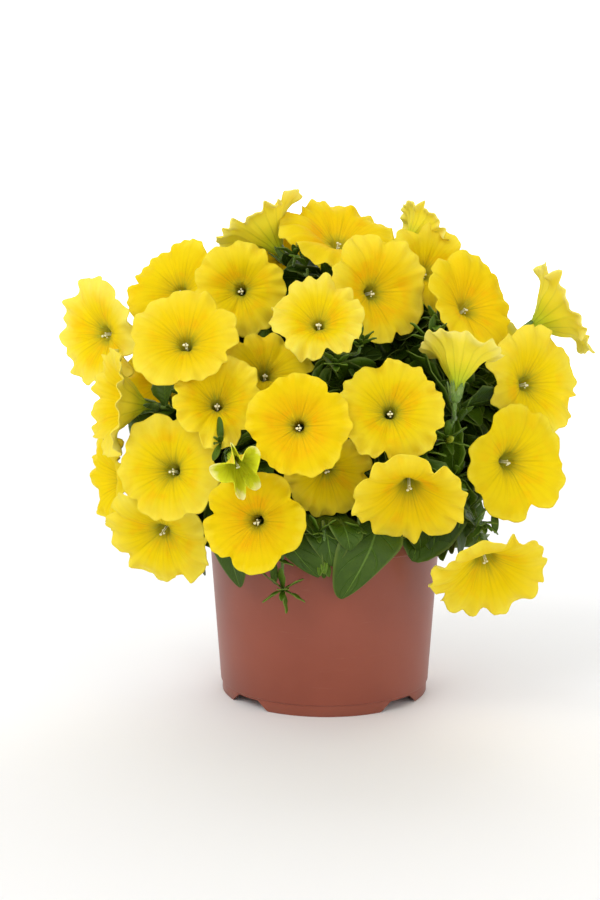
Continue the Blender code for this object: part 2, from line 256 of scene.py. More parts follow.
def stem_route(shoot, finer=1):
    azimuth, climb, _, _ = SHOOTS[shoot]
    out = heading_vector(azimuth, 0)
    start = CROWN_RADIUS * out + Vector((0, 0, SOIL_HEIGHT + GAP))
    aim = Vector()
    for _, base, facing, _ in by_shoot[shoot]:
        aim += (base - STEM_AIM * facing) / len(by_shoot[shoot])
    end = start.lerp(aim, STEM_SHARE)
    above = Vector((0, 0, climb * MM))
    knee = start + Vector((0, 0, STRAIGHT_FOOT))
    count = (STEM_POINTS - 2) * finer + 1
    return [start] + bezier(knee, knee + 0.6 * above, start.lerp(end, 0.6) + 0.6 * above, end, count)


def pedicel_route(stem, base, facing, count):
    """From the stem's point nearest to behind the flower, into the foot of its calyx."""
    behind = base - STALK_START * facing
    i = min(range(2, len(stem) - 1), key=lambda k: (stem[k] - behind).length)
    foot = base - CALYX_FOOT * facing
    reach = (foot - stem[i]).length
    along = (stem[i] - stem[i - 1]).normalized() + (foot - stem[i]).normalized()
    return bezier(stem[i], stem[i] + 0.17 * reach * along, foot - 0.45 * reach * facing, foot, count)


stems = {shoot: stem_route(shoot) for shoot in SHOOTS}
print("longest stem:", round(max((s[-1] - s[0]).length for s in stems.values()) / MM), "mm end to end")

# %% [markdown]
# ## Small tools
# An operator acts on whatever is selected, so each helper first deselects everything. A finished piece
# has its place in its mesh and its object at the origin, so that patterns stay put.


# %% Helpers for objects and meshes
def pick(*objs):
    bpy.ops.object.select_all(action="DESELECT")
    for obj in objs:
        obj.select_set(True)
    bpy.context.view_layer.objects.active = objs[0]


def copy_of(template, name):
    """A copy with its own mesh."""
    twin = template.copy()
    twin.data = template.data.copy()
    twin.name = name
    bpy.context.scene.collection.objects.link(twin)
    return twin


def joined(objs, name):
    pick(*objs)
    if len(objs) > 1:
        bpy.ops.object.join()
    whole = bpy.context.view_layer.objects.active
    whole.name = name
    return whole


def apply_modifier(obj, kind, **settings):
    pick(obj)
    modifier = obj.modifiers.new(kind.lower(), kind)
    for key, value in settings.items():
        setattr(modifier, key, value)
    bpy.ops.object.modifier_apply(modifier=modifier.name)


def new(add, **settings):
    """A new primitive, with nothing else selected."""
    bpy.ops.object.select_all(action="DESELECT")
    add(**settings)
    return bpy.context.object


def settle(obj):
    """Puts an object's place, turn and size into its mesh."""
    pick(obj)
    bpy.ops.object.transform_apply(location=True, rotation=True, scale=True)
    return obj


def in_edit_mode(obj, *steps):
    """Runs edit-mode operators on all of a mesh."""
    pick(obj)
    bpy.ops.object.mode_set(mode="EDIT")
    bpy.ops.mesh.select_all(action="SELECT")
    for step in steps:
        step()
    bpy.ops.object.mode_set(mode="OBJECT")


def merge_close():
    bpy.ops.mesh.remove_doubles(threshold=0.01 * MM)


def face_out():
    bpy.ops.mesh.normals_make_consistent(inside=False)


def points_of(obj):
    co = np.empty(len(obj.data.vertices) * 3, np.float32)
    obj.data.vertices.foreach_get("co", co)
    return co.reshape(-1, 3).astype(np.float64)


def set_points(obj, points):
    obj.data.vertices.foreach_set("co", np.asarray(points, np.float32).ravel())
    obj.data.update()


def set_attribute(obj, name, vectors):
    """A vector on every vertex, which a material can read by name."""
    layer = obj.data.attributes.new(name, "FLOAT_VECTOR", "POINT")
    layer.data.foreach_set("vector", np.asarray(vectors, np.float32).ravel())


def wear(obj, *materials):
    obj.data.materials.clear()
    for material in materials:
        obj.data.materials.append(material)


def finish_piece(obj, slot, *nodes, smooth=True):
    """Smooth shading, the frame body, and hiding the nodes that the piece stands for. The slot is not used.
    """
    if smooth:
        obj.data.shade_smooth()
    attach(obj, "root")
    if nodes:
        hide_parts(*nodes)
    return obj


def turned(name, sides, profile):
    """Rings drawn along a (radius, height) profile: a circle that is extruded and resized each time."""
    obj = new(bpy.ops.mesh.primitive_circle_add, vertices=sides, radius=profile[0][0])
    obj.name = name
    bpy.ops.object.mode_set(mode="EDIT")
    bpy.ops.mesh.select_all(action="SELECT")
    bpy.ops.transform.translate(value=(0, 0, profile[0][1]))
    for (near, low), (far, high) in zip(profile, profile[1:]):
        bpy.ops.mesh.extrude_edges_move(TRANSFORM_OT_translate={"value": (0, 0, high - low)})
        bpy.ops.transform.resize(value=(far / near, far / near, 1), center_override=(0, 0, high))
    bpy.ops.object.mode_set(mode="OBJECT")
    return obj


def close_ends():
    bpy.ops.mesh.fill_holes(sides=0)


# %% [markdown]
# ## Node tools for materials
# Each finish is a small node graph. These helpers add one node and hand back its output, so that a
# material reads like a sum. Colours are written as the eight-bit values that a colour picker shows.


# %% Helpers for materials
def srgb(red, green, blue):
    """A picker's colour as the linear values that a shader takes."""
    def linear(v):
        v /= 255
        return v / 12.92 if v <= 0.04045 else ((v + 0.055) / 1.055) ** 2.4
    return (linear(red), linear(green), linear(blue))


class Finish:
    """A material whose nodes are added one call at a time."""

    def __init__(self, name, roughness=0.5):
        self.material = bpy.data.materials.new(name)
        self.material.use_nodes = True
        self.tree = self.material.node_tree
        self.shader = self.tree.nodes["Principled BSDF"]
        self.shader.inputs["Roughness"].default_value = roughness

    def node(self, kind, settings=None, **inputs):
        made = self.tree.nodes.new(kind)
        for key, value in (settings or {}).items():
            setattr(made, key, value)
        for key, value in inputs.items():
            self.feed(made.inputs[key.replace("_", " ")], value)
        return made

    def feed(self, socket, value):
        if isinstance(value, bpy.types.NodeSocket):
            self.tree.links.new(value, socket)
        else:
            socket.default_value = value

    def math(self, operation, *values, clamp=False):
        made = self.node("ShaderNodeMath", {"operation": operation, "use_clamp": clamp})
        for socket, value in zip(made.inputs, values):
            self.feed(socket, value)
        return made.outputs[0]

    def times(self, first, second, clamp=False):
        return self.math("MULTIPLY", first, second, clamp=clamp)

    def plus(self, first, second):
        return self.math("ADD", first, second)

    def minus(self, first, second):
        return self.math("SUBTRACT", first, second)

    def span(self, value, low, high, to_low=0.0, to_high=1.0):
        """value's place between low and high, smoothed and held within them."""
        made = self.node("ShaderNodeMapRange", {"interpolation_type": "SMOOTHSTEP"})
        for socket, part in zip(made.inputs, (value, low, high, to_low, to_high)):
            self.feed(socket, part)
        return made.outputs[0]

    def noise(self, vector, scale, detail=3.0, roughness=0.55):
        made = self.node("ShaderNodeTexNoise", Scale=scale, Detail=detail, Roughness=roughness)
        self.feed(made.inputs["Vector"], vector)
        return made.outputs[0]

    def stretched_noise(self, vector, scales, detail, roughness=0.55):
        mapped = self.node("ShaderNodeMapping", Vector=vector, Scale=scales).outputs[0]
        return self.noise(mapped, 1.0, detail, roughness)

    def objects(self):
        return self.node("ShaderNodeTexCoord").outputs["Object"]

    def attribute(self, name):
        """The three parts of a vector attribute, and the vector."""
        made = self.node("ShaderNodeAttribute", {"attribute_name": name})
        parts = self.node("ShaderNodeSeparateXYZ")
        self.feed(parts.inputs[0], made.outputs["Vector"])
        return (*parts.outputs, made.outputs["Vector"])

    def vector(self, *parts):
        made = self.node("ShaderNodeCombineXYZ")
        for socket, part in zip(made.inputs, parts):
            self.feed(socket, part)
        return made.outputs[0]

    def ramp(self, value, stops):
        made = self.node("ShaderNodeValToRGB")
        elements = made.color_ramp.elements
        while len(elements) < len(stops):
            elements.new(0.5)
        for element, (place, colour) in zip(elements, stops):
            element.position = place
            element.color = (*colour, 1)
        self.feed(made.inputs[0], value)
        return made.outputs[0]

    def mix(self, share, first, second):
        made = self.node("ShaderNodeMix", {"data_type": "RGBA"})
        for socket, value in zip((made.inputs[0], made.inputs[6], made.inputs[7]), (share, first, second)):
            self.feed(socket, (*value, 1) if isinstance(value, tuple) else value)
        return made.outputs[2]

    def bump(self, height, distance, strength=1.0):
        made = self.node("ShaderNodeBump", Distance=distance, Strength=strength)
        self.feed(made.inputs["Height"], height)
        self.feed(self.shader.inputs["Normal"], made.outputs[0])

    def colour(self, value):
        self.feed(self.shader.inputs["Base Color"], value)

    def set(self, **inputs):
        for key, value in inputs.items():
            self.feed(self.shader.inputs[key.replace("_", " ")], value)


# %% [markdown]
# ## Petal finishes
# A petunia's petal is matt and velvety. It is greenish in the throat, golden round it, and clear
# yellow to its pale edge, with fine veins that fan out. Deepest in an open flower's throat the green
# is painted paler than the olive ring round it, as painted light against the throat's shade. The
# pattern must follow each flower, so every vertex carries its own place on the flower: sideways,
# upward, and how far along from tube to edge.


# %% Petal patterns
def fan_of_veins(finish, x, y, count, thin):
    """Lines that run out from the throat, 1 on a line and 0 between lines."""
    angle = finish.math("ARCTAN2", y, x)
    turns = finish.times(angle, count / (2 * math.pi))
    wave = finish.math("PINGPONG", turns, 0.5)
    return finish.span(wave, 0.0, thin, 1.0, 0.0)


def length_of(finish, x, y):
    return finish.math("SQRT", finish.plus(finish.times(x, x), finish.times(y, y)))


def petal_streaks(finish, x, y, reach, seed, fineness):
    """Noise stretched along the radius: one value for each direction, drifting a little outward."""
    near = finish.math("MAXIMUM", reach, 0.02)
    drift = finish.plus(finish.times(reach, 0.35), seed)
    spot = finish.vector(finish.math("DIVIDE", x, near), finish.math("DIVIDE", y, near), drift)
    return finish.noise(spot, fineness, 4.0)


# %% Petal face
def petal_face(name, edge, middle, gold, inner):
    finish = Finish(name, 0.75)
    x, y, _, _ = finish.attribute("petal")
    golden, seed, pale, _ = finish.attribute("mood")
    reach = length_of(finish, x, y)
    streaks = petal_streaks(finish, x, y, reach, seed, 7.0)
    blotches = finish.noise(finish.vector(x, y, seed), 2.3, 3.0)
    uneven = finish.plus(reach, finish.times(finish.minus(streaks, 0.5), 0.34))
    # The first inner stop lies deepest in the throat. For open flowers it is painted light, paler than the
    # olive ring beyond it.
    base = finish.ramp(uneven, [
        *zip((0.06, 0.14, 0.21, 0.3), inner), (0.44, middle), (0.84, middle), (1.0, edge)])
    cream = finish.times(finish.span(uneven, 0.45, 1.05), pale)
    base = finish.mix(cream, base, srgb(247, 228, 96))
    ring = finish.times(finish.span(reach, 0.18, 0.34), finish.span(reach, 0.42, 0.85, 1.0, 0.0))
    warm = finish.plus(finish.span(blotches, 0.48, 0.7, 0.0, 0.7), finish.times(golden, 0.6))
    warm = finish.times(warm, finish.plus(finish.times(ring, 0.8), 0.2), clamp=True)
    warmed = finish.mix(warm, base, gold)
    veins = finish.times(fan_of_veins(finish, x, y, 35, 0.3), finish.span(reach, 0.2, 0.9, 0.3, 0.04))
    veined = finish.mix(finish.times(veins, finish.span(streaks, 0.35, 0.6, 0.35, 1.0)),
                        warmed, srgb(196, 160, 4))
    midribs = finish.times(fan_of_veins(finish, x, y, 10, 0.09), finish.span(reach, 0.15, 0.7, 0.4, 0.03))
    finish.colour(finish.mix(midribs, veined, srgb(172, 156, 12)))
    relief = finish.minus(streaks, finish.times(veins, 0.8))
    finish.bump(finish.minus(relief, midribs), 0.35 * MM, 0.8)
    finish.set(Specular_IOR_Level=0.1, Subsurface_Weight=0.25, Subsurface_Scale=2.5 * MM,
               Subsurface_Radius=(1.0, 0.75, 0.05))
    return finish.material


PETAL_EDGE = srgb(244, 217, 44)
PETAL_YELLOW = srgb(237, 204, 0)
PETAL_GOLD = srgb(240, 180, 0)
# The first throat colour is painted paler than the olive ring after it: painted light against the shade deep
# in the throat.
PETAL_THROAT_WITH_PAINTED_LIGHT = [srgb(182, 190, 66), srgb(164, 160, 30), srgb(196, 176, 22), srgb(224, 194, 12)]
YOUNG_EDGE, YOUNG_GREEN, YOUNG_DEEP = srgb(246, 240, 150), srgb(214, 220, 40), srgb(190, 204, 24)
YOUNG_INNER = [srgb(170, 190, 50), srgb(178, 196, 44), srgb(190, 204, 40), srgb(204, 214, 40)]
petal_front = petal_face("petal_face", PETAL_EDGE, PETAL_YELLOW, PETAL_GOLD, PETAL_THROAT_WITH_PAINTED_LIGHT)
young_front = petal_face("young_petal_face", YOUNG_EDGE, YOUNG_GREEN, YOUNG_DEEP, YOUNG_INNER)
print("petal faces:", petal_front.name, young_front.name)


# %% [markdown]
# The back of a petal is paler and duller, and its green veins run up out of the hairy green tube.


# %% Petal back
def petal_back():
    finish = Finish("petal_back", 0.75)
    x, y, along, _ = finish.attribute("petal")
    _, seed, _, _ = finish.attribute("mood")
    reach = length_of(finish, x, y)
    streaks = petal_streaks(finish, x, y, reach, seed, 8.0)
    base = finish.ramp(along, [
        (0.0, srgb(156, 188, 66)), (0.35, srgb(178, 200, 48)), (0.55, srgb(206, 208, 42)),
        (0.68, srgb(236, 216, 48)), (0.85, srgb(246, 222, 66)), (1.0, srgb(250, 232, 120))])
    veins = fan_of_veins(finish, x, y, 15, 0.15)
    strength = finish.span(along, 0.25, 0.9, 0.6, 0.06)
    finish.colour(finish.mix(finish.times(veins, strength), base, srgb(122, 138, 20)))
    finish.bump(finish.plus(streaks, finish.times(veins, 0.8)), 0.3 * MM, 0.8)
    finish.set(Specular_IOR_Level=0.12, Subsurface_Weight=0.35, Subsurface_Scale=2.5 * MM,
               Subsurface_Radius=(1.0, 0.8, 0.1))
    return finish.material


petal_reverse = petal_back()

# %% [markdown]
# ## One flower, drawn forty times
# The trumpet is five petals joined into one sheet. It is modelled once as rings that widen from the
# tube to the limb. Each copy is then given its own lobes, ruffles and bends, thickened, and set in
# its calyx. A little chance in the shaping keeps forty flowers from looking stamped.

# %% Trumpet template
SIDES = 120
RING_PLACES = [0, 0.1, 0.2, 0.28, 0.35, 0.41, 0.46, 0.5, 0.53, 0.56, 0.59, 0.62, 0.655, 0.69,
               0.725, 0.76, 0.795, 0.83, 0.865, 0.9, 0.93, 0.955, 0.98, 1.0]
trumpet = turned("trumpet", SIDES, [(1 + place, place) for place in RING_PLACES])
place = points_of(trumpet)
angle_of = np.arctan2(place[:, 1], place[:, 0])
along_of = place[:, 2].copy()


def curve_through(t, knots, values):
    """A smooth curve through values at knots, read at t."""
    knots, values = np.array(knots), np.array(values)
    slopes = np.gradient(values, knots)
    i = np.clip(np.searchsorted(knots, t, side="right") - 1, 0, len(knots) - 2)
    width = knots[i + 1] - knots[i]
    s = (t - knots[i]) / width
    return (
        (2 * s**3 - 3 * s**2 + 1) * values[i]
        + (s**3 - 2 * s**2 + s) * width * slopes[i]
        + (3 * s**2 - 2 * s**3) * values[i + 1]
        + (s**3 - s**2) * width * slopes[i + 1]
    )


def trumpet_profile(radius, flare, funnel):
    """Radius and height of the sheet at each vertex, before it gets its lobes. Height 0 is the mouth."""
    knots = [0, 0.15, 0.3, 0.42, 0.5, 0.57, 0.66, 0.76, 0.88, 1]
    throat = (0.15 + 0.09 * funnel) * radius
    radii = [TUBE_RADIUS, 1.05 * TUBE_RADIUS, (1.2 + 0.4 * funnel) * TUBE_RADIUS, 0.8 * throat, throat]
    radii += [share * radius for share in (0.235 + 0.07 * funnel, 0.38 + 0.05 * funnel, 0.56, 0.8, 1.02)]
    flat = np.array([-30, -24, -17, -12.5, -9.8, -7.4 * flare, -5.0 * flare, -2.9 * flare, -1.0 * flare, 0])
    deep = np.array([-30, -26, -23, -20.5, -18.5, -16.5, -12.5, -8, -3.4, 0])
    heights = (1 - funnel) * flat + funnel * deep
    return curve_through(along_of, knots, radii), curve_through(along_of, knots, heights) * MM


def any_turn(chance):
    return chance.uniform(0, 6.3)


def soft_step(values, low, high):
    s = np.clip((values - low) / (high - low), 0, 1)
    return s * s * (3 - 2 * s)


def away_from(turn, centre):
    """How far each direction is from centre, in radians either way round."""
    return np.abs((turn - centre + math.pi) % (2 * math.pi) - math.pi)


def shape_trumpet(radius, chance, ruffle, funnel):
    """Local points of one flower's sheet, facing +Z: lobes, folds, ruffles and bends."""
    reach, height = trumpet_profile(radius, chance.uniform(0.95, 1.25), funnel)
    limb = soft_step(along_of, 0.55, 1.0)
    edge = soft_step(along_of, 0.74, 1.0)
    open_limb = soft_step(along_of, 0.52, 0.7)
    turn = angle_of + 0.1 * np.sin(angle_of + any_turn(chance)) + chance.uniform(-0.6, 0.6)
    lobe = np.abs(np.cos(2.5 * turn))
    fifth = 2 * math.pi / 5
    lift = 0.8 * limb * (1 - limb) * 4 * lobe
    for k in range(5):
        petal = np.clip(np.cos(turn - k * fifth), 0, 1) ** 5
        cleft = np.exp(-((away_from(turn, (k + 0.5) * fifth) / chance.uniform(0.12, 0.24)) ** 1.2))
        dent = np.exp(-((away_from(turn, k * fifth + chance.uniform(-0.12, 0.12)) / 0.13) ** 1.5))
        reach = reach * (1 + chance.uniform(-0.05, 0.06) * limb * petal)
        cut = chance.uniform(0.08, 0.25) * edge * cleft
        reach = reach * (1 - cut - chance.uniform(0, 0.08) * edge**2 * dent)
        lift += chance.uniform(-4.2, 2.2) * petal * limb**1.5
        lift -= chance.uniform(0.3, 3.4) * ruffle * petal * edge**2.2
        lift -= chance.uniform(0.6, 2.0) * cleft * open_limb * (1 - 0.4 * edge)
    frill = sum(chance.uniform(0.3, 1.0) * np.sin(n * turn + any_turn(chance)) for n in (13, 19, 27))
    reach = reach * (1 + 0.013 * ruffle * edge**3 * frill)
    ripple = sum(
        chance.uniform(0.25, 0.7) * np.sin(n * turn + any_turn(chance)) for n in (7, 9, 12, 16, 21))
    midrib = np.exp(-(1 - lobe) / 0.012)
    bend = any_turn(chance)
    lift += (
        1.5 * ruffle * edge**1.3 * ripple
        - 0.4 * midrib * open_limb * (1 - 0.7 * edge)
        + chance.uniform(0.5, 2.2) * limb * np.cos(2 * (angle_of - bend))
    )
    pleat = soft_step(along_of, 0.4, 0.52) * (1 - soft_step(along_of, 0.58, 0.8))
    reach = reach * (1 + 0.09 * pleat * np.cos(5 * turn))
    return np.column_stack([reach * np.cos(angle_of), reach * np.sin(angle_of), height + MM * lift])


# %% [markdown]
# The half-open flower is a crumpled star: its petals are still pointed, creased along their middles,
# uneven and greener.


# %% Half-open star
def shape_star(radius, chance):
    reach, height = trumpet_profile(radius, 1.25, 0.6)
    limb = soft_step(along_of, 0.45, 1.0)
    turn = angle_of + 0.5
    lobe = np.abs(np.cos(2.5 * turn))
    reach = reach * (1 - 0.52 * limb**1.2 * (1 - lobe**1.4)) * (1 + 0.14 * limb * lobe**5)
    lift = 5.0 * limb**1.3 * (1 - lobe) - 2.2 * limb**3 * lobe**4
    for k in range(5):
        petal = np.clip(np.cos(turn - k * 2 * math.pi / 5), 0, 1) ** 6
        reach = reach * (1 + chance.uniform(-0.22, 0.2) * limb * petal)
        lift += chance.uniform(-3.5, 4.5) * petal * limb**1.5
    lift += 1.6 * limb * np.sin(3 * angle_of + any_turn(chance))
    wave = 1.3 * limb**2 * np.sin(11 * angle_of + any_turn(chance))
    lift += wave - 1.8 * limb * np.exp(-(1 - lobe) / 0.02)
    twist = angle_of + 0.35 * limb * np.sin(2 * angle_of + any_turn(chance))
    return np.column_stack([reach * np.cos(twist), reach * np.sin(twist), height + MM * lift])


# %% Set every flower in its calyx
def turned_to(facing, points):
    return points @ np.array(facing.to_track_quat("Z", "Y").to_matrix()).T


def placed(points, base, facing):
    """Local points, whose tube foot is TUBE_LENGTH behind the mouth, moved to the flower's place."""
    return turned_to(facing, points + [0, 0, TUBE_LENGTH]) + np.array(base)


HALF_OPEN = "flower_07"
RUFFLED = {1: 1.4, 2: 1.5, 3: 1.4, 5: 1.1, 8: 1.0, 12: 1.5, 14: 1.4, 15: 1.4, 16: 1.6, 18: 1.3, 20: 1.6,
           24: 1.5, 26: 1.4, 30: 1.4}
FUNNEL = {2: 0.4, 3: 1.0, 15: 0.5, 16: 0.5, 17: 0.25, 19: 1.0, 20: 0.9, 23: 0.4, 26: 0.9}
GOLDEN = {11: 1.0, 6: 0.8, 25: 0.6, 24: 0.7, 21: 0.6, 15: 0.4, 9: 0.3}
PALE = {30: 0.9, 3: 0.6, 12: 0.7, 20: 1.0, 19: 0.8, 18: 0.4, 5: 0.4, 9: 0.3, 1: 0.4}
PETAL_SHEET = 0.4 * MM
for i, (name, base, facing, radius) in enumerate(flowers):
    chance = random.Random(300 + i)
    star = name == HALF_OPEN
    if star:
        local = shape_star(radius, chance)
    else:
        local = shape_trumpet(radius, chance, RUFFLED.get(i + 1, 0.95), FUNNEL.get(i + 1, 0.08))
    bloom = copy_of(trumpet, f"petals_{i + 1:02d}")
    set_attribute(bloom, "petal", np.column_stack([local[:, :2] / radius, along_of]))
    mood = [GOLDEN.get(i + 1, 0.0), 3.7 * i, PALE.get(i + 1, chance.uniform(0, 0.35))]
    set_attribute(bloom, "mood", np.tile(mood, (len(local), 1)))
    set_points(bloom, placed(local, base, facing))
    wear(bloom, young_front if star else petal_front, petal_reverse)
    limb_face = bloom.data.polygons[len(bloom.data.polygons) * 3 // 4]
    if limb_face.normal.dot(facing) < 0:
        bloom.data.flip_normals()
    apply_modifier(bloom, "SOLIDIFY", thickness=PETAL_SHEET, offset=0, material_offset=1)
    finish_piece(bloom, "petal", name)
bpy.data.objects.remove(trumpet)
print("flowers shaped:", len(flowers))

# %% [markdown]
# ## Stamens
# Deep in each throat a few cream anthers stand close together. They are small rounded bodies on thin
# threads, so low spheres and cones are enough. One cluster is modelled and copied into every flower.


# %% Anther cluster
def grainy(name, roughness, scale, detail, first, second, depth):
    """A finish that drifts between two colours, and is bumpy with the same grain."""
    finish = Finish(name, roughness)
    grain = finish.noise(finish.objects(), scale, detail)
    finish.colour(finish.mix(grain, first, second))
    finish.bump(grain, depth)
    return finish.material


ANTHERS = [(-0.75, -1.3, 0.8), (0.8, -1.0, 0.75), (0.1, 0.4, 0.5), (0.3, -2.1, 0.5)]
ANTHER_DEPTH, ANTHER_STEP = 8.0, 0.8
THREAD = dict(vertices=6, radius1=0.2 * MM, radius2=0.16 * MM, depth=12 * MM)


def anther_cluster():
    """Rounded anthers on threads, a little below the middle of the throat."""
    parts = []
    for k, (x, y, size) in enumerate(ANTHERS):
        z = -ANTHER_DEPTH - ANTHER_STEP * k
        ball = new(bpy.ops.mesh.primitive_ico_sphere_add, subdivisions=2, radius=size * MM,
                   location=(x * MM, y * MM, z * MM))
        ball.scale = (1.0, 0.85, 0.7)
        thread_middle = (0.7 * x * MM, 0.5 * y * MM, (z - 6.3) * MM)
        parts += [settle(ball), new(bpy.ops.mesh.primitive_cone_add, location=thread_middle, **THREAD)]
    return settle(joined(parts, "anther_cluster"))


cluster = anther_cluster()
cluster_points = points_of(cluster)
clusters = []
for name, base, facing, _ in flowers:
    twin = copy_of(cluster, "anthers")
    deeper = 9 * MM * FUNNEL.get(len(clusters) + 1, 0.08)
    size = 0.7 if name == HALF_OPEN else 1.0
    set_points(twin, placed(cluster_points * size - [0, 0, deeper], base, facing))
    clusters.append(twin)
bpy.data.objects.remove(cluster)
anthers = joined(clusters, "stamens_and_pistils")
wear(anthers, grainy("anther_cream", 0.8, 1800.0, 2.0, srgb(255, 252, 226), srgb(226, 224, 168), 0.15 * MM))
finish_piece(anthers, "petal")
print("anther clusters:", len(clusters))

# %% [markdown]
# ## Greens
# Stems and sepals are pale green and covered in fine sticky hairs. Leaves are darker, with a pale
# midrib and side veins that sink into a slightly quilted blade. A number on each leaf varies its age.


# %% Green finishes
def stem_finish():
    finish = Finish("hairy_green_stem", 0.55)
    coarse = finish.noise(finish.objects(), 90.0, 3.0)
    fine = finish.noise(finish.objects(), 1300.0, 2.0)
    base = finish.ramp(coarse, [
        (0.3, srgb(74, 106, 34)), (0.55, srgb(104, 138, 48)), (0.75, srgb(140, 164, 74))])
    finish.colour(finish.mix(finish.span(fine, 0.55, 0.75, 0.0, 0.45), base, srgb(196, 208, 150)))
    finish.bump(fine, 0.3 * MM)
    finish.set(Sheen_Weight=0.3, Sheen_Roughness=0.4)
    return finish.material


def leaf_finish():
    finish = Finish("petunia_leaf", 0.5)
    across, along, age, _ = finish.attribute("blade")
    away = finish.math("ABSOLUTE", across)
    phase = finish.minus(finish.times(along, 7.0), finish.times(away, 1.6))
    side_veins = finish.span(finish.math("PINGPONG", phase, 0.5), 0.0, 0.07, 1.0, 0.0)
    side_veins = finish.times(side_veins, finish.span(away, 0.55, 0.95, 1.0, 0.0))
    midrib = finish.span(away, 0.01, 0.07, 1.0, 0.0)
    mottle = finish.noise(finish.objects(), 160.0, 4.0)
    cells = finish.noise(finish.objects(), 1100.0, 2.0)
    young = finish.mix(mottle, srgb(66, 100, 8), srgb(100, 134, 16))
    old = finish.mix(mottle, srgb(38, 62, 6), srgb(58, 84, 8))
    blade = finish.mix(age, old, young)
    fringe = finish.times(finish.span(away, 0.86, 1.0), 0.35)
    edged = finish.mix(fringe, blade, srgb(138, 156, 72))
    veined = finish.mix(finish.times(side_veins, 0.2), edged, srgb(96, 140, 44))
    finish.colour(finish.mix(finish.times(midrib, 0.4), veined, srgb(124, 160, 64)))
    quilt = finish.times(finish.math("MAXIMUM", side_veins, midrib), -1.0)
    finish.bump(finish.plus(quilt, finish.times(cells, 0.5)), 0.45 * MM, 0.9)
    finish.set(Specular_IOR_Level=0.25)
    return finish.material


stem_green = stem_finish()
leaf_green = leaf_finish()

# %% [markdown]
# ## Calyx
# At the foot of each trumpet is a short cup that splits into five narrow sepals. Each sepal is a
# strip that widens, then ends in a blunt tip, and bends away from the tube.

# %% Calyx template
SEPAL_ROWS = 8
SEPAL_SHEET = 0.5 * MM


def flat_grid(across, along):
    return new(bpy.ops.mesh.primitive_grid_add, x_subdivisions=across, y_subdivisions=along, size=2)


def sepal(turn, length, lean):
    strip = flat_grid(2, SEPAL_ROWS)
    flat = points_of(strip)
    across, t = flat[:, 0], (flat[:, 1] + 1) / 2
    half = MM * 1.25 * (0.75 + 0.55 * np.sin(math.pi * t**0.8)) * np.sqrt(1 - t**3 * 0.985)
    out = 2.6 * MM + lean * length * t**1.7
    x = out + 0.3 * MM * np.abs(across)
    z = 0.4 * MM + length * t * math.sqrt(1 - min(0.9, lean**2))
    y = across * half
    c, s = math.cos(turn), math.sin(turn)
    set_points(strip, np.column_stack([c * x - s * y, s * x + c * y, z]))
    return strip


def calyx_template():
    parts = [sepal(math.radians(72 * k), (9 + 1.5 * math.sin(2.3 * k)) * MM, 0.22 + 0.1 * math.cos(3 * k))
             for k in range(5)]
    sepals = joined(parts, "sepals")
    apply_modifier(sepals, "SOLIDIFY", thickness=SEPAL_SHEET, offset=0)
    cup = turned("cup", 20, [(0.2 * MM, -2.4 * MM), (1.5 * MM, -2.2 * MM), (2.6 * MM, -1.0 * MM),
                             (3.0 * MM, 1.2 * MM), (3.1 * MM, 3.0 * MM), (2.5 * MM, 2.6 * MM),
                             (2.35 * MM, 0.2 * MM), (0.2 * MM, -0.35 * MM)])
    in_edit_mode(cup, close_ends, face_out)
    return joined([cup, sepals], "calyx")


calyx = calyx_template()
calyx_points = points_of(calyx)
print("calyx faces:", len(calyx.data.polygons))


# %% [markdown]
# ## Stems and stalks
# A stem is a curve with a round section that thins toward its tip. The curve is turned into a mesh
# once its radii are set. Short hairs stand out all round it: each is a three-sided spike.


# %% Tubes and hairs
def tube(points, thick, thin):
    curve = bpy.data.curves.new("tube", "CURVE")
    curve.dimensions = "3D"
    curve.bevel_depth = thick
    curve.bevel_resolution = 3
    curve.use_fill_caps = True
    spline = curve.splines.new("POLY")
    spline.points.add(len(points) - 1)
    for k, spot in enumerate(points):
        spline.points[k].co = (*spot, 1)
        spline.points[k].radius = 1 + (thin / thick - 1) * k / (len(points) - 1)
    obj = bpy.data.objects.new("tube", curve)
    bpy.context.scene.collection.objects.link(obj)
    pick(obj)
    bpy.ops.object.convert(target="MESH")
    obj = bpy.context.object
    in_edit_mode(obj, merge_close, face_out)
    return obj


hair = settle(new(bpy.ops.mesh.primitive_cone_add, vertices=3, radius1=0.07 * MM, radius2=0.015 * MM,
                  depth=1, location=(0, 0, 0.5)))
hair_points = points_of(hair)
HAIR_LENGTHS = (0.7, 1.5)
STEM_HAIRS, STALK_HAIRS, SPRIG_HAIRS = 0.5, 0.8, 1.2


def hairs_on(points, radius, per_mm, chance):
    """Hairs all round a route of points."""
    made = []
    for start, end in zip(points, points[1:]):
        along = (end - start).normalized()
        side = along.orthogonal().normalized()
        for _ in range(max(1, round(per_mm * (end - start).length / MM))):
            turn = chance.uniform(0, 2 * math.pi)
            out = round_axis(along, side, turn)
            root = start.lerp(end, chance.random()) + 0.9 * radius * out
            lean = (out + 0.35 * along * chance.uniform(-1, 1)).normalized()
            spike = copy_of(hair, "hair")
            long_points = hair_points * [1, 1, chance.uniform(*HAIR_LENGTHS) * MM]
            set_points(spike, turned_to(lean, long_points) + np.array(root))
            made.append(spike)
    return made


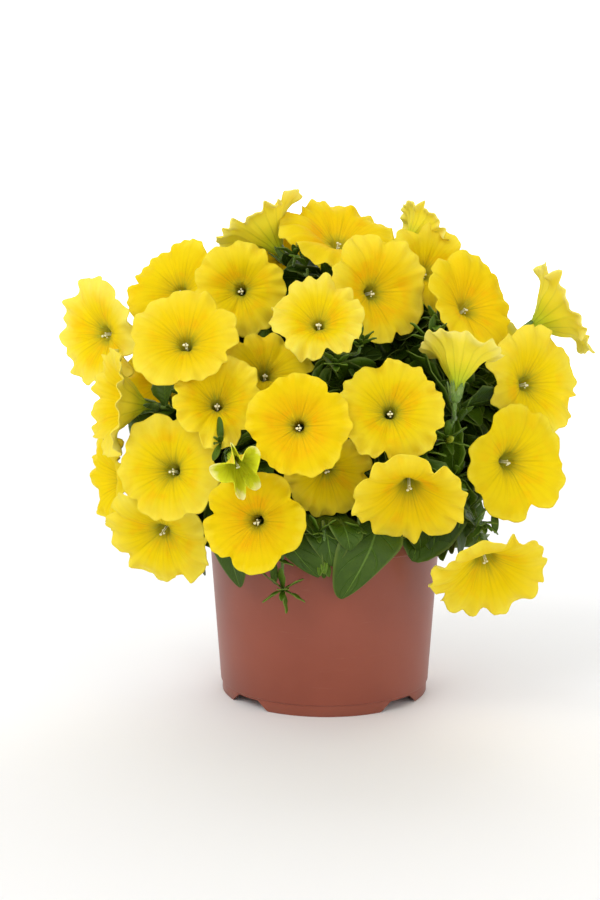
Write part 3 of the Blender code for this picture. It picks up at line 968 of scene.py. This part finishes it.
STEM_THICK, STEM_THIN = 1.6 * MM, 1.25 * MM
STALK_THICK, STALK_THIN = 0.95 * MM, 1.15 * MM
stalk_routes = {}
for shoot in SHOOTS:
    parts = [tube(stem_route(shoot, finer=4), STEM_THICK, STEM_THIN)]
    chance = random.Random(shoot)
    parts += hairs_on(stems[shoot], STEM_THIN, STEM_HAIRS, chance)
    for _, base, facing, _ in by_shoot[shoot]:
        route = pedicel_route(stems[shoot], base, facing, 14)
        stalk_routes.setdefault(shoot, []).append(route)
        parts.append(tube(route, STALK_THICK, STALK_THIN))
        parts += hairs_on(route, STALK_THICK, STALK_HAIRS, chance)
        cup = copy_of(calyx, "calyx")
        set_points(cup, placed(calyx_points - [0, 0, TUBE_LENGTH], base, facing))
        parts.append(cup)
    stem = joined(parts, f"stems_{shoot}")
    wear(stem, stem_green)
    finish_piece(stem, "stem_and_leaf", f"shoot_{shoot}")
bpy.data.objects.remove(calyx)
print("stems:", len(SHOOTS))

# %% [markdown]
# ## Leaves
# A petunia's leaf is oval and soft, folded a little along its midrib, and bowed over by its weight.
# A flat grid is copied for each leaf and bent along a curve. The frame's leaves come first, in the
# same places, with a few small ones more at the front of the rim. Smaller leaves then fill the shade
# between the flowers wherever they clear the petals and the pot.

# %% Leaf templates
fine_leaf, plain_leaf = flat_grid(8, 24), flat_grid(4, 9)
STALK_WIDTH = 0.12
LEAF_SHEET = 0.45 * MM


def leaf_width(t, petiole):
    """Half the blade's width, as a share of the most: stalk, then oval, then rounded tip."""
    blade = np.clip((t - petiole) / (1 - petiole), 0, 1)
    return np.maximum(STALK_WIDTH * (1 - blade), np.sin(math.pi * blade**1.05) ** 0.58)


def add_leaf(template, start, middle, tip, width, petiole, chance, age, roll=0.0):
    """One leaf, bowed from start over middle to tip, rolled round that line, folded and waved by chance."""
    grid = points_of(template)
    across, t = grid[:, 0], np.sin(math.pi / 4 * (grid[:, 1] + 1))
    spine = np.array(bezier_at(start, start.lerp(middle, 0.67), tip.lerp(middle, 0.67), tip, t))
    side = (tip - start).cross(Vector((0, 0, 1)))
    if side.length < 0.1 * (tip - start).length:
        side = Vector((1, 0, 0))
    side = Matrix.Rotation(roll, 3, tip - start) @ side.normalized()
    up = side.cross(tip - start).normalized()
    half = width / 2 * leaf_width(t, petiole)
    fold = chance.uniform(0.1, 0.4)
    wave = 0.18 * np.sin(chance.uniform(2.2, 4.6) * math.pi * t + any_turn(chance) + across)
    lift = np.abs(across) ** 1.3 * half * (fold + wave)
    leaf = copy_of(template, "leaf")
    set_attribute(leaf, "blade", np.column_stack([across, t, np.full_like(t, age)]))
    set_points(leaf, spine + np.outer(across * half, side) + np.outer(lift, up))
    return leaf


def bezier_at(start, first, second, end, t):
    t = t[:, None]
    s = 1 - t
    knots = [np.array(spot) for spot in (start, first, second, end)]
    return s**3 * knots[0] + 3 * s * s * t * knots[1] + 3 * s * t * t * knots[2] + t**3 * knots[3]


def leaf_candidates(shoot, stem, count):
    """The frame's rule: leaves a golden angle apart round the stem, several tries at each place."""
    rounds = []
    for k in range(count):
        i = 1 + round((len(stem) - 3) * k / (count - 1))
        along = (stem[i + 1] - stem[i]).normalized()
        root = stem[i].lerp(stem[i + 1], 0.37)
        side = along.orthogonal().normalized()
        length = LEAF_LENGTH - k * LEAF_STEP + 4 * MM * math.sin(2.4 * k + len(shoot))
        tries = []
        for turn in (0, 70, -70, 140, 180):
            angle = math.radians(GOLDEN_ANGLE * k + 17 * len(shoot) + turn)
            out = round_axis(along, side, angle)
            leaning = (0.85 * out + 0.45 * along).normalized()
            tip = root + length * (leaning + Vector((0, 0, -0.18)))
            middle = root + 0.5 * length * (leaning + Vector((0, 0, 0.12)))
            tries.append((root, middle, tip, LEAF_SHAPE * length))
        rounds.append(tries)
    return rounds


# %% Frame leaves
def near_any(points, spot, distance):
    return np.linalg.norm(points - np.array(spot), axis=1).min() < distance


SMALL_RIM_LEAVES = [
    ("front", (0, -66, 106), (4, -76, 84), 22),
    ("front", (8, -65, 107), (13, -76, 92), 18),
    ("front_left_low", (-34, -60, 106), (-31, -72, 86), 20),
]
leaves = {shoot: [] for shoot in SHOOTS}
for shoot, over_rim, tip, width in RIM_LEAVES + SMALL_RIM_LEAVES:
    middle, tip, start = Vector(over_rim) * MM, Vector(tip) * MM, stems[shoot][2]
    chance = random.Random(f"{shoot}{over_rim}")
    bow = 2 * middle - 0.5 * (start + tip)
    age = chance.uniform(0.0, 0.35)
    leaves[shoot].append(add_leaf(fine_leaf, start, bow, tip, width * MM, 0.45, chance, age))
for shoot in SHOOTS:
    solid = np.array([v.co for v in frame["nodes"][f"shoot_{shoot}"].data.vertices])
    for k, tries in enumerate(leaf_candidates(shoot, stems[shoot], SHOOTS[shoot][2])):
        chance = random.Random(f"{shoot}{k}")
        for start, middle, tip, width in tries:
            if near_any(solid, tip, 0.6 * MM):
                age = chance.uniform(0, 0.8)
                leaves[shoot].append(add_leaf(fine_leaf, start, middle, tip, width, 0.12, chance, age))
                break
print("frame leaves:", sum(len(some) for some in leaves.values()))


# %% [markdown]
# Inside the plant it is dark and full of leaves. Points are drawn in oval clouds round the plant's
# heart and over the rim, and each becomes the tip of a leaf from a stem or stalk near it. A leaf that
# would cut through a petal or the pot is given up, and so is one whose tip has a neighbour too near.


# %% Fill the heart of the plant
def tree_of(objs):
    points, faces = [], []
    for obj in objs:
        first = len(points)
        points += [v.co.copy() for v in obj.data.vertices]
        faces += [[first + v for v in p.vertices] for p in obj.data.polygons]
    return BVHTree.FromPolygons(points, faces)


def meets(obj, *trees):
    mine = tree_of([obj])
    return any(mine.overlap(tree) for tree in trees)


petal_tree = tree_of([bpy.data.objects[f"petals_{i + 1:02d}"] for i in range(len(flowers))])
pot_tree = tree_of([frame["nodes"]["pot"], frame["nodes"]["soil"]])
route_points = [(spot, shoot) for shoot in SHOOTS for route in [stems[shoot][1:]] + stalk_routes[shoot]
                for spot in route[:-1]]
route_array = np.array([spot for spot, _ in route_points])


def in_cloud(chance, middle, size):
    """A point of an oval cloud, at least 0.4 of the way out."""
    out = Vector([chance.gauss(0, 1) for _ in range(3)]).normalized() * chance.uniform(0.4, 1)
    return Vector([m * MM + s * MM * o for m, s, o in zip(middle, size, out)])


def leaf_to(tip, chance, shape, longest, arch):
    """A leaf from one of the nearest places on a stem or stalk to tip, or None where it can't be."""
    distances = np.linalg.norm(route_array - np.array(tip), axis=1)
    nearest = int(chance.choice(np.argsort(distances)[:NEAR_ROOTS]))
    length = distances[nearest]
    if not 9 * MM < length < longest:
        return None, None
    root, shoot = route_points[nearest]
    middle = 0.5 * (root + tip) + Vector((0, 0, chance.uniform(0.1, 1) * arch * length))
    age, roll = chance.uniform(0, 0.9), chance.uniform(-0.8, 0.8)
    leaf = add_leaf(plain_leaf, root, middle, tip, shape * length, 0.1, chance, age, roll)
    if meets(leaf, petal_tree, pot_tree):
        bpy.data.objects.remove(leaf)
        return None, None
    return leaf, shoot


NEAR_ROOTS = 24
# tips drawn, the cloud's middle and half sizes, and each leaf's shape, greatest length, arch and spacing
CLOUDS = [
    (1000, (0, -8, 165), (98, 72, 82), (0.62, 42, 0.2, 4.5)),
    (500, (0, -30, 135), (85, 60, 38), (0.62, 44, 0.2, 4.5)),
    (350, (0, -25, 195), (80, 50, 40), (0.55, 40, 0.2, 4.5)),
    (300, (0, 0, 225), (80, 55, 36), (0.45, 32, 0.2, 4.5)),
    (220, (48, 0, 198), (34, 45, 26), (0.6, 44, 0.2, 4.5)),
    (160, (92, 0, 165), (24, 40, 30), (0.6, 44, 0.2, 4.5)),
    (160, (-82, 0, 165), (24, 40, 34), (0.6, 44, 0.2, 4.5)),
]
LEFT_CLOUD = [(120, (-96, -4, 158), (18, 22, 24), (0.6, 60, 0.2, 5))]
RIM_TIPS, RIM_REACH, RIM_DROP, RIM_LEAF = 1100, (62, 84), (82, 116), (0.72, 58, 0.5, 7)
FRONT_TIPS = [(12, -79, 84), (20, -79, 90), (4, -79, 93), (27, -77, 97), (12, -80, 97), (-4, -79, 99),
              (20, -77, 103)]
FRONT_TRIES, FRONT_LEAF = 16, (0.75, 80, 0.6, 3)


def cloud_tips(clouds):
    return [(in_cloud(chance, middle, size), leaf)
            for count, middle, size, leaf in clouds for _ in range(count)]


def rim_tip():
    over_rim = heading_vector(chance.uniform(-180, 180), 0) * chance.uniform(*RIM_REACH)
    return MM * Vector((over_rim.x, over_rim.y, chance.uniform(*RIM_DROP)))


chance = random.Random(77)
tips = [(Vector(place) * MM, FRONT_LEAF) for place in FRONT_TIPS for _ in range(FRONT_TRIES)]
tips += cloud_tips(CLOUDS) + [(rim_tip(), RIM_LEAF) for _ in range(RIM_TIPS)] + cloud_tips(LEFT_CLOUD)
filled = [Vector()]
for tip, (shape, longest, arch, spacing) in tips:
    if near_any(np.array(filled), tip, spacing * MM):
        continue
    leaf, shoot = leaf_to(tip, chance, shape * chance.uniform(0.7, 1.15), longest * MM, arch)
    if leaf:
        leaves[shoot].append(leaf)
        filled.append(tip)
print("leaves that fill the heart:", len(filled) - 1)

# %% [markdown]
# ## Sprigs
# Young side shoots and closed flower buds stand in stars of narrow, hairy leaves, most of them where
# a gap between flowers shows the green. Each is a place, the way it points, how wide its star
# spreads, the length of its leaves, and whether it holds a bud.

# %% Sprig places
SPRIGS = [
    ((50, -74, 143), (0, 25), 0.9, 14, False),
    ((63, -64, 147), (10, 15), 0.8, 12, True),
    ((71, -48, 156), (10, 65), 0.5, 14, False),
    ((56, -58, 156), (-20, 60), 0.5, 15, False),
    ((70, -52, 128), (30, 0), 0.8, 12, False),
    ((-52, -80, 147), (-15, 20), 0.9, 12, False),
    ((-3, -73, 101), (0, -15), 1.0, 14, False),
    ((8, -72, 111), (20, 20), 0.9, 13, True),
    ((18, -69, 103), (10, -30), 0.9, 14, False),
    ((-26, -74, 88), (-10, -10), 0.95, 13, False),
    ((-21, -76, 72), (0, -5), 1.0, 15, False),
    ((0, -74, 90), (0, -75), 0.25, 12, False),
    ((90, -47, 110), (35, -10), 0.9, 14, False),
    ((84, -52, 104), (15, -40), 0.7, 12, False),
    ((-10, -32, 240), (-20, 50), 0.6, 13, False),
    ((-16, -30, 246), (10, 40), 0.8, 13, False),
    ((62, -36, 222), (5, 50), 0.45, 16, False),
    ((60, -38, 208), (0, 30), 0.7, 14, False),
    ((56, -46, 198), (-10, 40), 0.7, 14, True),
    ((18, -66, 196), (0, 40), 0.7, 13, False),
    ((6, -72, 186), (0, 20), 0.6, 12, False),
    ((-18, -66, 178), (-10, 30), 0.7, 12, False),
    ((-64, -62, 182), (-10, 20), 0.8, 12, False),
    ((-58, -60, 120), (-20, 0), 0.7, 14, False),
    ((-74, -45, 98), (-40, -10), 0.8, 13, False),
    ((30, 60, 150), (160, 20), 0.7, 13, True),
    ((-20, 84, 142), (-170, 10), 0.7, 12, False),
    ((-70, 55, 185), (-140, 30), 0.7, 12, True),
    ((75, 55, 195), (140, 30), 0.6, 12, False),
    ((-92, 10, 150), (-90, 10), 0.7, 13, False),
    ((92, 15, 160), (90, 15), 0.7, 13, True),
]
print("sprigs:", len(SPRIGS))


# %% Sprigs with narrow leaves and buds
RIM_TOP = 101 * MM
OVER_RIM = [(60, 116), (84, 104)]
SPRIG_THICK, SPRIG_THIN = 0.9 * MM, 0.8 * MM
SPRIG_ROOTS = slice(0, 24, 3)


def narrow_leaf(root, out, forward, length, chance):
    """A narrow leaf, or None where a petal is in its way."""
    tip = root + length * (out + forward).normalized()
    middle = 0.5 * (root + tip) + 0.12 * length * forward
    width, age = 0.24 * length + 1.1 * MM, chance.uniform(0.4, 1.0)
    leaf = add_leaf(plain_leaf, root, middle, tip, width, 0.05, chance, age)
    if meets(leaf, petal_tree):
        bpy.data.objects.remove(leaf)
        return None
    return leaf


def stalk_to(root, foot, facing):
    """A straight reach into the sprig's back or, for one that hangs, an arch over the pot's rim."""
    if foot.z > RIM_TOP:
        return bezier(root, root.lerp(foot, 0.4), foot - 0.35 * (foot - root).length * facing, foot, 8)
    out = Vector((foot.x, foot.y, 0)).normalized()
    rise, fall = [reach * MM * out + Vector((0, 0, height * MM)) for reach, height in OVER_RIM]
    return bezier(root, rise, fall, foot, 12)


def clear_stalk(foot, facing):
    """Shoot, route and tube of a stalk from a near stem that meets neither a petal nor the pot, or None."""
    distances = np.linalg.norm(route_array - np.array(foot), axis=1)
    for nearest in np.argsort(distances)[SPRIG_ROOTS]:
        root, shoot = route_points[nearest]
        route = stalk_to(root, foot, facing)
        stalk = tube(route, SPRIG_THICK, SPRIG_THIN)
        if not meets(stalk, petal_tree, pot_tree):
            return shoot, route, stalk
        bpy.data.objects.remove(stalk)
    return None


def star_of_leaves(spot, facing, spread, length, chance):
    """Five or six narrow leaves round the sprig's end, and three small ones in its heart."""
    side = Vector((0, 0, 1)).cross(facing).normalized()
    count = chance.choice((5, 6))
    made = []
    for k in range(count + 3):
        inner = k >= count
        angle = 2 * math.pi * k / (3 if inner else count) - math.pi / 2 + chance.uniform(-0.25, 0.25)
        out = round_axis(facing, side, angle)
        wide = spread * (0.4 if inner else 1.0)
        forward = facing * math.sqrt(max(0.02, 1 - min(wide, 0.99) ** 2))
        size = length * MM * chance.uniform(0.8, 1.15) * (0.6 if inner else 1.0)
        made.append(narrow_leaf(spot, wide * out, forward, size, chance))
    return [leaf for leaf in made if leaf]


sprig_stalks, bud_spots = [], []
for k, (place, pointing, spread, length, has_bud) in enumerate(SPRIGS):
    chance = random.Random(900 + k)
    spot, facing = Vector(place) * MM, heading_vector(*pointing)
    found = clear_stalk(spot - 2 * MM * facing, facing)
    if not found:
        print("no clear way for the sprig at", place)
        continue
    shoot, route, stalk = found
    leaves[shoot] += star_of_leaves(spot, facing, spread, length, chance)
    sprig_stalks += [stalk] + hairs_on(route, 0.85 * MM, SPRIG_HAIRS, chance)
    if has_bud:
        bud_spots.append((spot, facing))
stalks = joined(sprig_stalks, "sprig_stalks")
wear(stalks, stem_green)
finish_piece(stalks, "stem_and_leaf")
print("pieces in the sprig stalks:", len(sprig_stalks), "buds:", len(bud_spots))


# %% [markdown]
# A closed bud is a small pleated spindle, twisted a little toward its tip, still green with clouds of
# yellow.


# %% Buds
def bud_finish():
    finish = Finish("bud_green_yellow", 0.6)
    spot = finish.objects()
    cloud = finish.noise(spot, 300.0, 3.0)
    finish.colour(finish.mix(cloud, srgb(120, 146, 30), srgb(190, 196, 40)))
    finish.bump(finish.noise(spot, 1400.0, 2.0), 0.2 * MM)
    return finish.material


BUD_PROFILE = [(0.4, 0), (1.5, 0.6), (1.9, 2.2), (2.1, 4.2), (2.4, 6.4), (2.5, 8.4), (2.1, 10.4),
               (1.3, 12.2), (0.3, 13.2)]
bud = turned("bud", 30, [(r * MM, h * MM) for r, h in BUD_PROFILE])
in_edit_mode(bud, close_ends, face_out)
bud_points = points_of(bud)
around = np.arctan2(bud_points[:, 1], bud_points[:, 0]) + 60 * bud_points[:, 2]
pleated = bud_points * np.column_stack([1 - 0.16 * np.cos(5 * around) ** 2] * 2 + [np.ones(len(around))])
buds = []
for spot, facing in bud_spots:
    twin = copy_of(bud, "bud")
    set_points(twin, placed(pleated * 0.75 - [0, 0, TUBE_LENGTH], spot, facing))
    buds.append(twin)
bpy.data.objects.remove(bud)
closed_buds = joined(buds, "closed_buds")
wear(closed_buds, bud_finish())
finish_piece(closed_buds, "petal")

# %% Join the leaves of each shoot
for template in (fine_leaf, plain_leaf):
    bpy.data.objects.remove(template)
for shoot, made in leaves.items():
    foliage = joined(made, f"leaves_{shoot}")
    in_edit_mode(foliage, merge_close)
    wear(foliage, leaf_green)
    apply_modifier(foliage, "SOLIDIFY", thickness=LEAF_SHEET, offset=0)
    finish_piece(foliage, "stem_and_leaf")
print("all leaves:", sum(len(some) for some in leaves.values()))

# %% [markdown]
# ## The pot
# It is thin moulded plastic: a tapered wall, a collar with a rounded lip, a seam line just above
# the foot, and four gaps that leave four feet. The wall is drawn as rings up the inside and down the
# outside, so that it is one closed shell. Wedges then cut the gaps, plugs cut the drain holes, and a
# bevel softens every edge.

# %% Pot dimensions and shell
POT_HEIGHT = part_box("pot")[1].z
RIM_RADIUS = 67.5 * MM
COLLAR_STEP = 1.5 * MM
COLLAR_FOOT = POT_HEIGHT - 15 * MM
UNDER_COLLAR = RIM_RADIUS - COLLAR_STEP
BASE_RADIUS = 60.3 * MM
FOOT_RADIUS = 59.4 * MM
SEAM_HEIGHT = 6.2 * MM
WALL = 1.5 * MM
FLOOR_UNDERSIDE, FLOOR_TOP = 5.6 * MM, 7.4 * MM
NOTCH_HEIGHT = 5.1 * MM
NOTCH_TOP_ANGLE, NOTCH_BOTTOM_ANGLE = 15, 40
LIP = 0.6 * MM
DRAIN_RADIUS, DRAIN_RING = 4 * MM, 36 * MM
POT_SIDES = 144


def pot_profile():
    """From the middle of the floor, up the inside, over the lip, down the outside and under the floor."""
    lip_top = [
        (RIM_RADIUS - WALL / 2 - WALL / 2 * math.cos(a), POT_HEIGHT - LIP + LIP * math.sin(a))
        for a in np.linspace(0, math.pi, 9)]
    return [
        (0.5 * MM, FLOOR_TOP), (BASE_RADIUS - WALL - 2 * MM, FLOOR_TOP),
        (BASE_RADIUS - WALL, FLOOR_TOP + 1.5 * MM),
        (UNDER_COLLAR - WALL, COLLAR_FOOT), (RIM_RADIUS - WALL, COLLAR_FOOT + COLLAR_STEP),
        *lip_top,
        (RIM_RADIUS, COLLAR_FOOT + 0.9 * MM), (RIM_RADIUS - 0.3 * MM, COLLAR_FOOT + 0.3 * MM),
        (UNDER_COLLAR + 0.3 * MM, COLLAR_FOOT), (UNDER_COLLAR, COLLAR_FOOT - 0.5 * MM),
        (0.5 * (UNDER_COLLAR + BASE_RADIUS), 0.5 * (COLLAR_FOOT + SEAM_HEIGHT)),
        (BASE_RADIUS, SEAM_HEIGHT + 0.6 * MM), (BASE_RADIUS - 0.3 * MM, SEAM_HEIGHT + 0.1 * MM),
        (FOOT_RADIUS, SEAM_HEIGHT - 0.2 * MM), (FOOT_RADIUS, 0.5 * MM), (FOOT_RADIUS - 0.4 * MM, 0),
        (FOOT_RADIUS - WALL + 0.4 * MM, 0), (FOOT_RADIUS - WALL, 0.5 * MM),
        (FOOT_RADIUS - WALL, FLOOR_UNDERSIDE), (0.5 * MM, FLOOR_UNDERSIDE),
    ]


def notch_wedge(angle):
    """Wide at the floor and narrow at its top, with its top corners rounded."""
    wedge = new(bpy.ops.mesh.primitive_cube_add, size=1)
    for vertex in wedge.data.vertices:
        upper = vertex.co.z > 0
        half = FOOT_RADIUS * math.tan(math.radians(NOTCH_TOP_ANGLE if upper else NOTCH_BOTTOM_ANGLE) / 2)
        vertex.co = (FOOT_RADIUS + vertex.co.x * 15 * MM, math.copysign(half, vertex.co.y),
                     NOTCH_HEIGHT if upper else -NOTCH_HEIGHT)
    wedge.rotation_euler.z = angle
    return settle(wedge)


def drain_plug(x, y):
    return settle(new(bpy.ops.mesh.primitive_cylinder_add, vertices=32, radius=DRAIN_RADIUS, depth=30 * MM,
                      location=(x, y, 0)))


pot = turned("nursery_pot", POT_SIDES, pot_profile())
in_edit_mode(pot, close_ends, face_out)
cutters = [notch_wedge(math.radians(45 + 90 * k)) for k in range(4)]
cutters += [drain_plug(DRAIN_RING * math.cos(turn), DRAIN_RING * math.sin(turn))
            for turn in np.radians([0, 90, 180, 270])]
cutters.append(drain_plug(0, 0))
for cutter in cutters:
    apply_modifier(pot, "BOOLEAN", operation="DIFFERENCE", object=cutter, solver="EXACT")
    bpy.data.objects.remove(cutter)
apply_modifier(pot, "BEVEL", width=0.25 * MM, segments=2, limit_method="ANGLE", angle_limit=math.radians(50))
pick(pot)
bpy.ops.object.shade_smooth_by_angle(angle=math.radians(40))
print("pot faces:", len(pot.data.polygons))


# %% [markdown]
# Terracotta-coloured plastic has a soft satin sheen. Its colour is slightly cloudy, the surface has a
# very fine orange-peel, handling leaves faint scuffs, and a little dust clings to the foot.


# %% Pot finish
def pot_finish():
    finish = Finish("terracotta_plastic", 0.42)
    spot = finish.objects()
    height = finish.node("ShaderNodeSeparateXYZ", Vector=spot).outputs[2]
    clouds = finish.noise(spot, 28.0, 3.0)
    grain = finish.noise(spot, 1500.0, 2.0)
    scuffs = finish.span(finish.stretched_noise(spot, (60.0, 60.0, 520.0), 6.0, 0.7), 0.6, 0.78)
    base = finish.mix(clouds, srgb(132, 62, 42), srgb(150, 74, 52))
    dusty = finish.times(finish.span(height, 0.0, 9 * MM, 0.3, 0.0), finish.noise(spot, 160.0, 4.0))
    worn = finish.mix(finish.times(scuffs, 0.14), base, srgb(190, 130, 106))
    finish.colour(finish.mix(dusty, worn, srgb(112, 80, 62)))
    finish.set(Roughness=finish.plus(finish.times(clouds, 0.14), 0.33))
    finish.bump(grain, 0.05 * MM, 0.5)
    return finish.material


wear(pot, pot_finish())
finish_piece(pot, "terracotta_plastic", "pot", smooth=False)

# %% [markdown]
# ## Compost
# The pot is filled to just under the collar with dark, crumbly compost. A turned block carries the
# lumpy top, and loose crumbs and white perlite grains lie on it.


# %% Compost block
def soil_profile():
    inside = UNDER_COLLAR - WALL - GAP
    top = [(inside * s, SOIL_HEIGHT - 3 * MM * max(0, (s - 0.8) / 0.2) ** 1.5)
           for s in np.linspace(1, 0.01, 34)]
    return [(0.5 * MM, FLOOR_TOP + GAP), (BASE_RADIUS - WALL - GAP - 2 * MM, FLOOR_TOP + GAP),
            (BASE_RADIUS - WALL - GAP, FLOOR_TOP + GAP + 2 * MM), *top]


def soil_finish():
    finish = Finish("compost", 0.95)
    spot = finish.objects()
    lumps = finish.noise(spot, 240.0, 6.0, 0.7)
    fibres = finish.stretched_noise(spot, (900.0, 260.0, 500.0), 3.0)
    base = finish.ramp(lumps, [(0.3, srgb(28, 20, 15)), (0.5, srgb(52, 38, 28)), (0.7, srgb(86, 64, 46))])
    finish.colour(finish.mix(finish.span(fibres, 0.64, 0.72, 0.0, 0.6), base, srgb(134, 104, 72)))
    finish.bump(lumps, 1.2 * MM)
    return finish.material


soil = turned("compost_fill", 96, soil_profile())
in_edit_mode(soil, close_ends, face_out)
ground = points_of(soil)
for k, (x, y, z) in enumerate(ground):
    if z > SOIL_HEIGHT - 3.2 * MM:
        edge = max(0.0, 1 - math.hypot(x, y) / (59 * MM))
        rough = noise.fractal(Vector((x, y, 0)) * 190, 0.9, 2.1, 5)
        ground[k, 2] = z - 0.9 * MM + min(0.5, edge * 4) * 1.8 * MM * rough
set_points(soil, ground)
wear(soil, soil_finish())
finish_piece(soil, "compost", "soil")


# %% Crumbs and perlite
def scattered(count, small, large, seed, name, material):
    chance = random.Random(seed)
    bits = []
    ball = new(bpy.ops.mesh.primitive_ico_sphere_add, subdivisions=2, radius=1)
    round_points = points_of(ball)
    for _ in range(count):
        out, turn = 58 * MM * math.sqrt(chance.random()), chance.uniform(0, 2 * math.pi)
        size = chance.uniform(small, large) * MM
        bit = copy_of(ball, "bit")
        stretch = np.array([chance.uniform(0.6, 1.3), chance.uniform(0.6, 1.3), chance.uniform(0.45, 0.9)])
        away = Vector((out * 900, turn * 9, 0))
        knobbly = np.array([1 + 0.3 * noise.noise(Vector(p) * 2 + away) for p in round_points])
        spin = Matrix.Rotation(any_turn(chance), 3, "Z")
        shaped = (round_points * knobbly[:, None] * stretch * size) @ np.array(spin).T
        shaped += [out * math.cos(turn), out * math.sin(turn), SOIL_HEIGHT - 0.6 * MM]
        set_points(bit, shaped)
        bits.append(bit)
    bpy.data.objects.remove(ball)
    whole = joined(bits, name)
    wear(whole, material)
    return finish_piece(whole, "compost")


scattered(220, 0.7, 2.2, 11, "compost_crumbs", soil.data.materials[0])
perlite = grainy("perlite", 0.9, 1500.0, 3.0, srgb(226, 222, 212), srgb(176, 168, 156), 0.3 * MM)
scattered(46, 0.6, 1.5, 12, "perlite_grains", perlite)
print("compost and grains made")

# %% [markdown]
# ## Floor and light
# A plain white table top, an evenly lit white backdrop, and a big soft window light from the upper
# left give bright petals and gentle shade inside the plant. The sky fills in what the window misses.

# %% Floor, backdrop, lamps and sky
def sheet(name, size, place, turn):
    plane = new(bpy.ops.mesh.primitive_plane_add, size=size, location=place, rotation=(turn, 0, 0))
    plane.name = name
    plane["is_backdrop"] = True
    return plane


table = Finish("white_table", 0.8)
table.colour((0.9, 0.9, 0.9, 1))
wear(sheet("floor", 8, (0, 0, 0), 0), table.material)
glow = Finish("white_backdrop", 1.0)
glow.set(Emission_Color=(1, 1, 1, 1), Emission_Strength=1.0)
wear(sheet("backdrop", 8, (0, 3.2, 4), math.radians(90)), glow.material)


def area_lamp(name, place, size, power):
    bpy.ops.object.light_add(type="AREA", location=place)
    lamp = bpy.context.object
    lamp.name = name
    lamp.data.size = size
    lamp.data.energy = power
    lamp.rotation_euler = (Vector((0, 0, 0.15)) - Vector(place)).to_track_quat("-Z", "Y").to_euler()
    return lamp


area_lamp("window", (-1.0, -1.1, 1.5), 1.1, 15)
area_lamp("fill", (1.5, -1.2, 0.8), 1.4, 4)
area_lamp("front_fill", (0.3, -1.7, 0.25), 1.2, 5)
area_lamp("back_rim", (0.5, 1.5, 1.4), 1.2, 6)
world = bpy.data.worlds.new("sky")
bpy.context.scene.world = world
world.use_nodes = True
world.node_tree.nodes["Background"].inputs[0].default_value = (1, 1, 1, 1)
world.node_tree.nodes["Background"].inputs[1].default_value = 0.62

# %% [markdown]
# ## The triangle count
# The triangles of every shown piece are counted and printed.

# %% Finish
bpy.data.objects.remove(hair)
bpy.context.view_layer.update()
triangles = sum(len(p.vertices) - 2 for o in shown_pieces() if o.type == "MESH" for p in o.data.polygons)
print("triangles:", triangles)
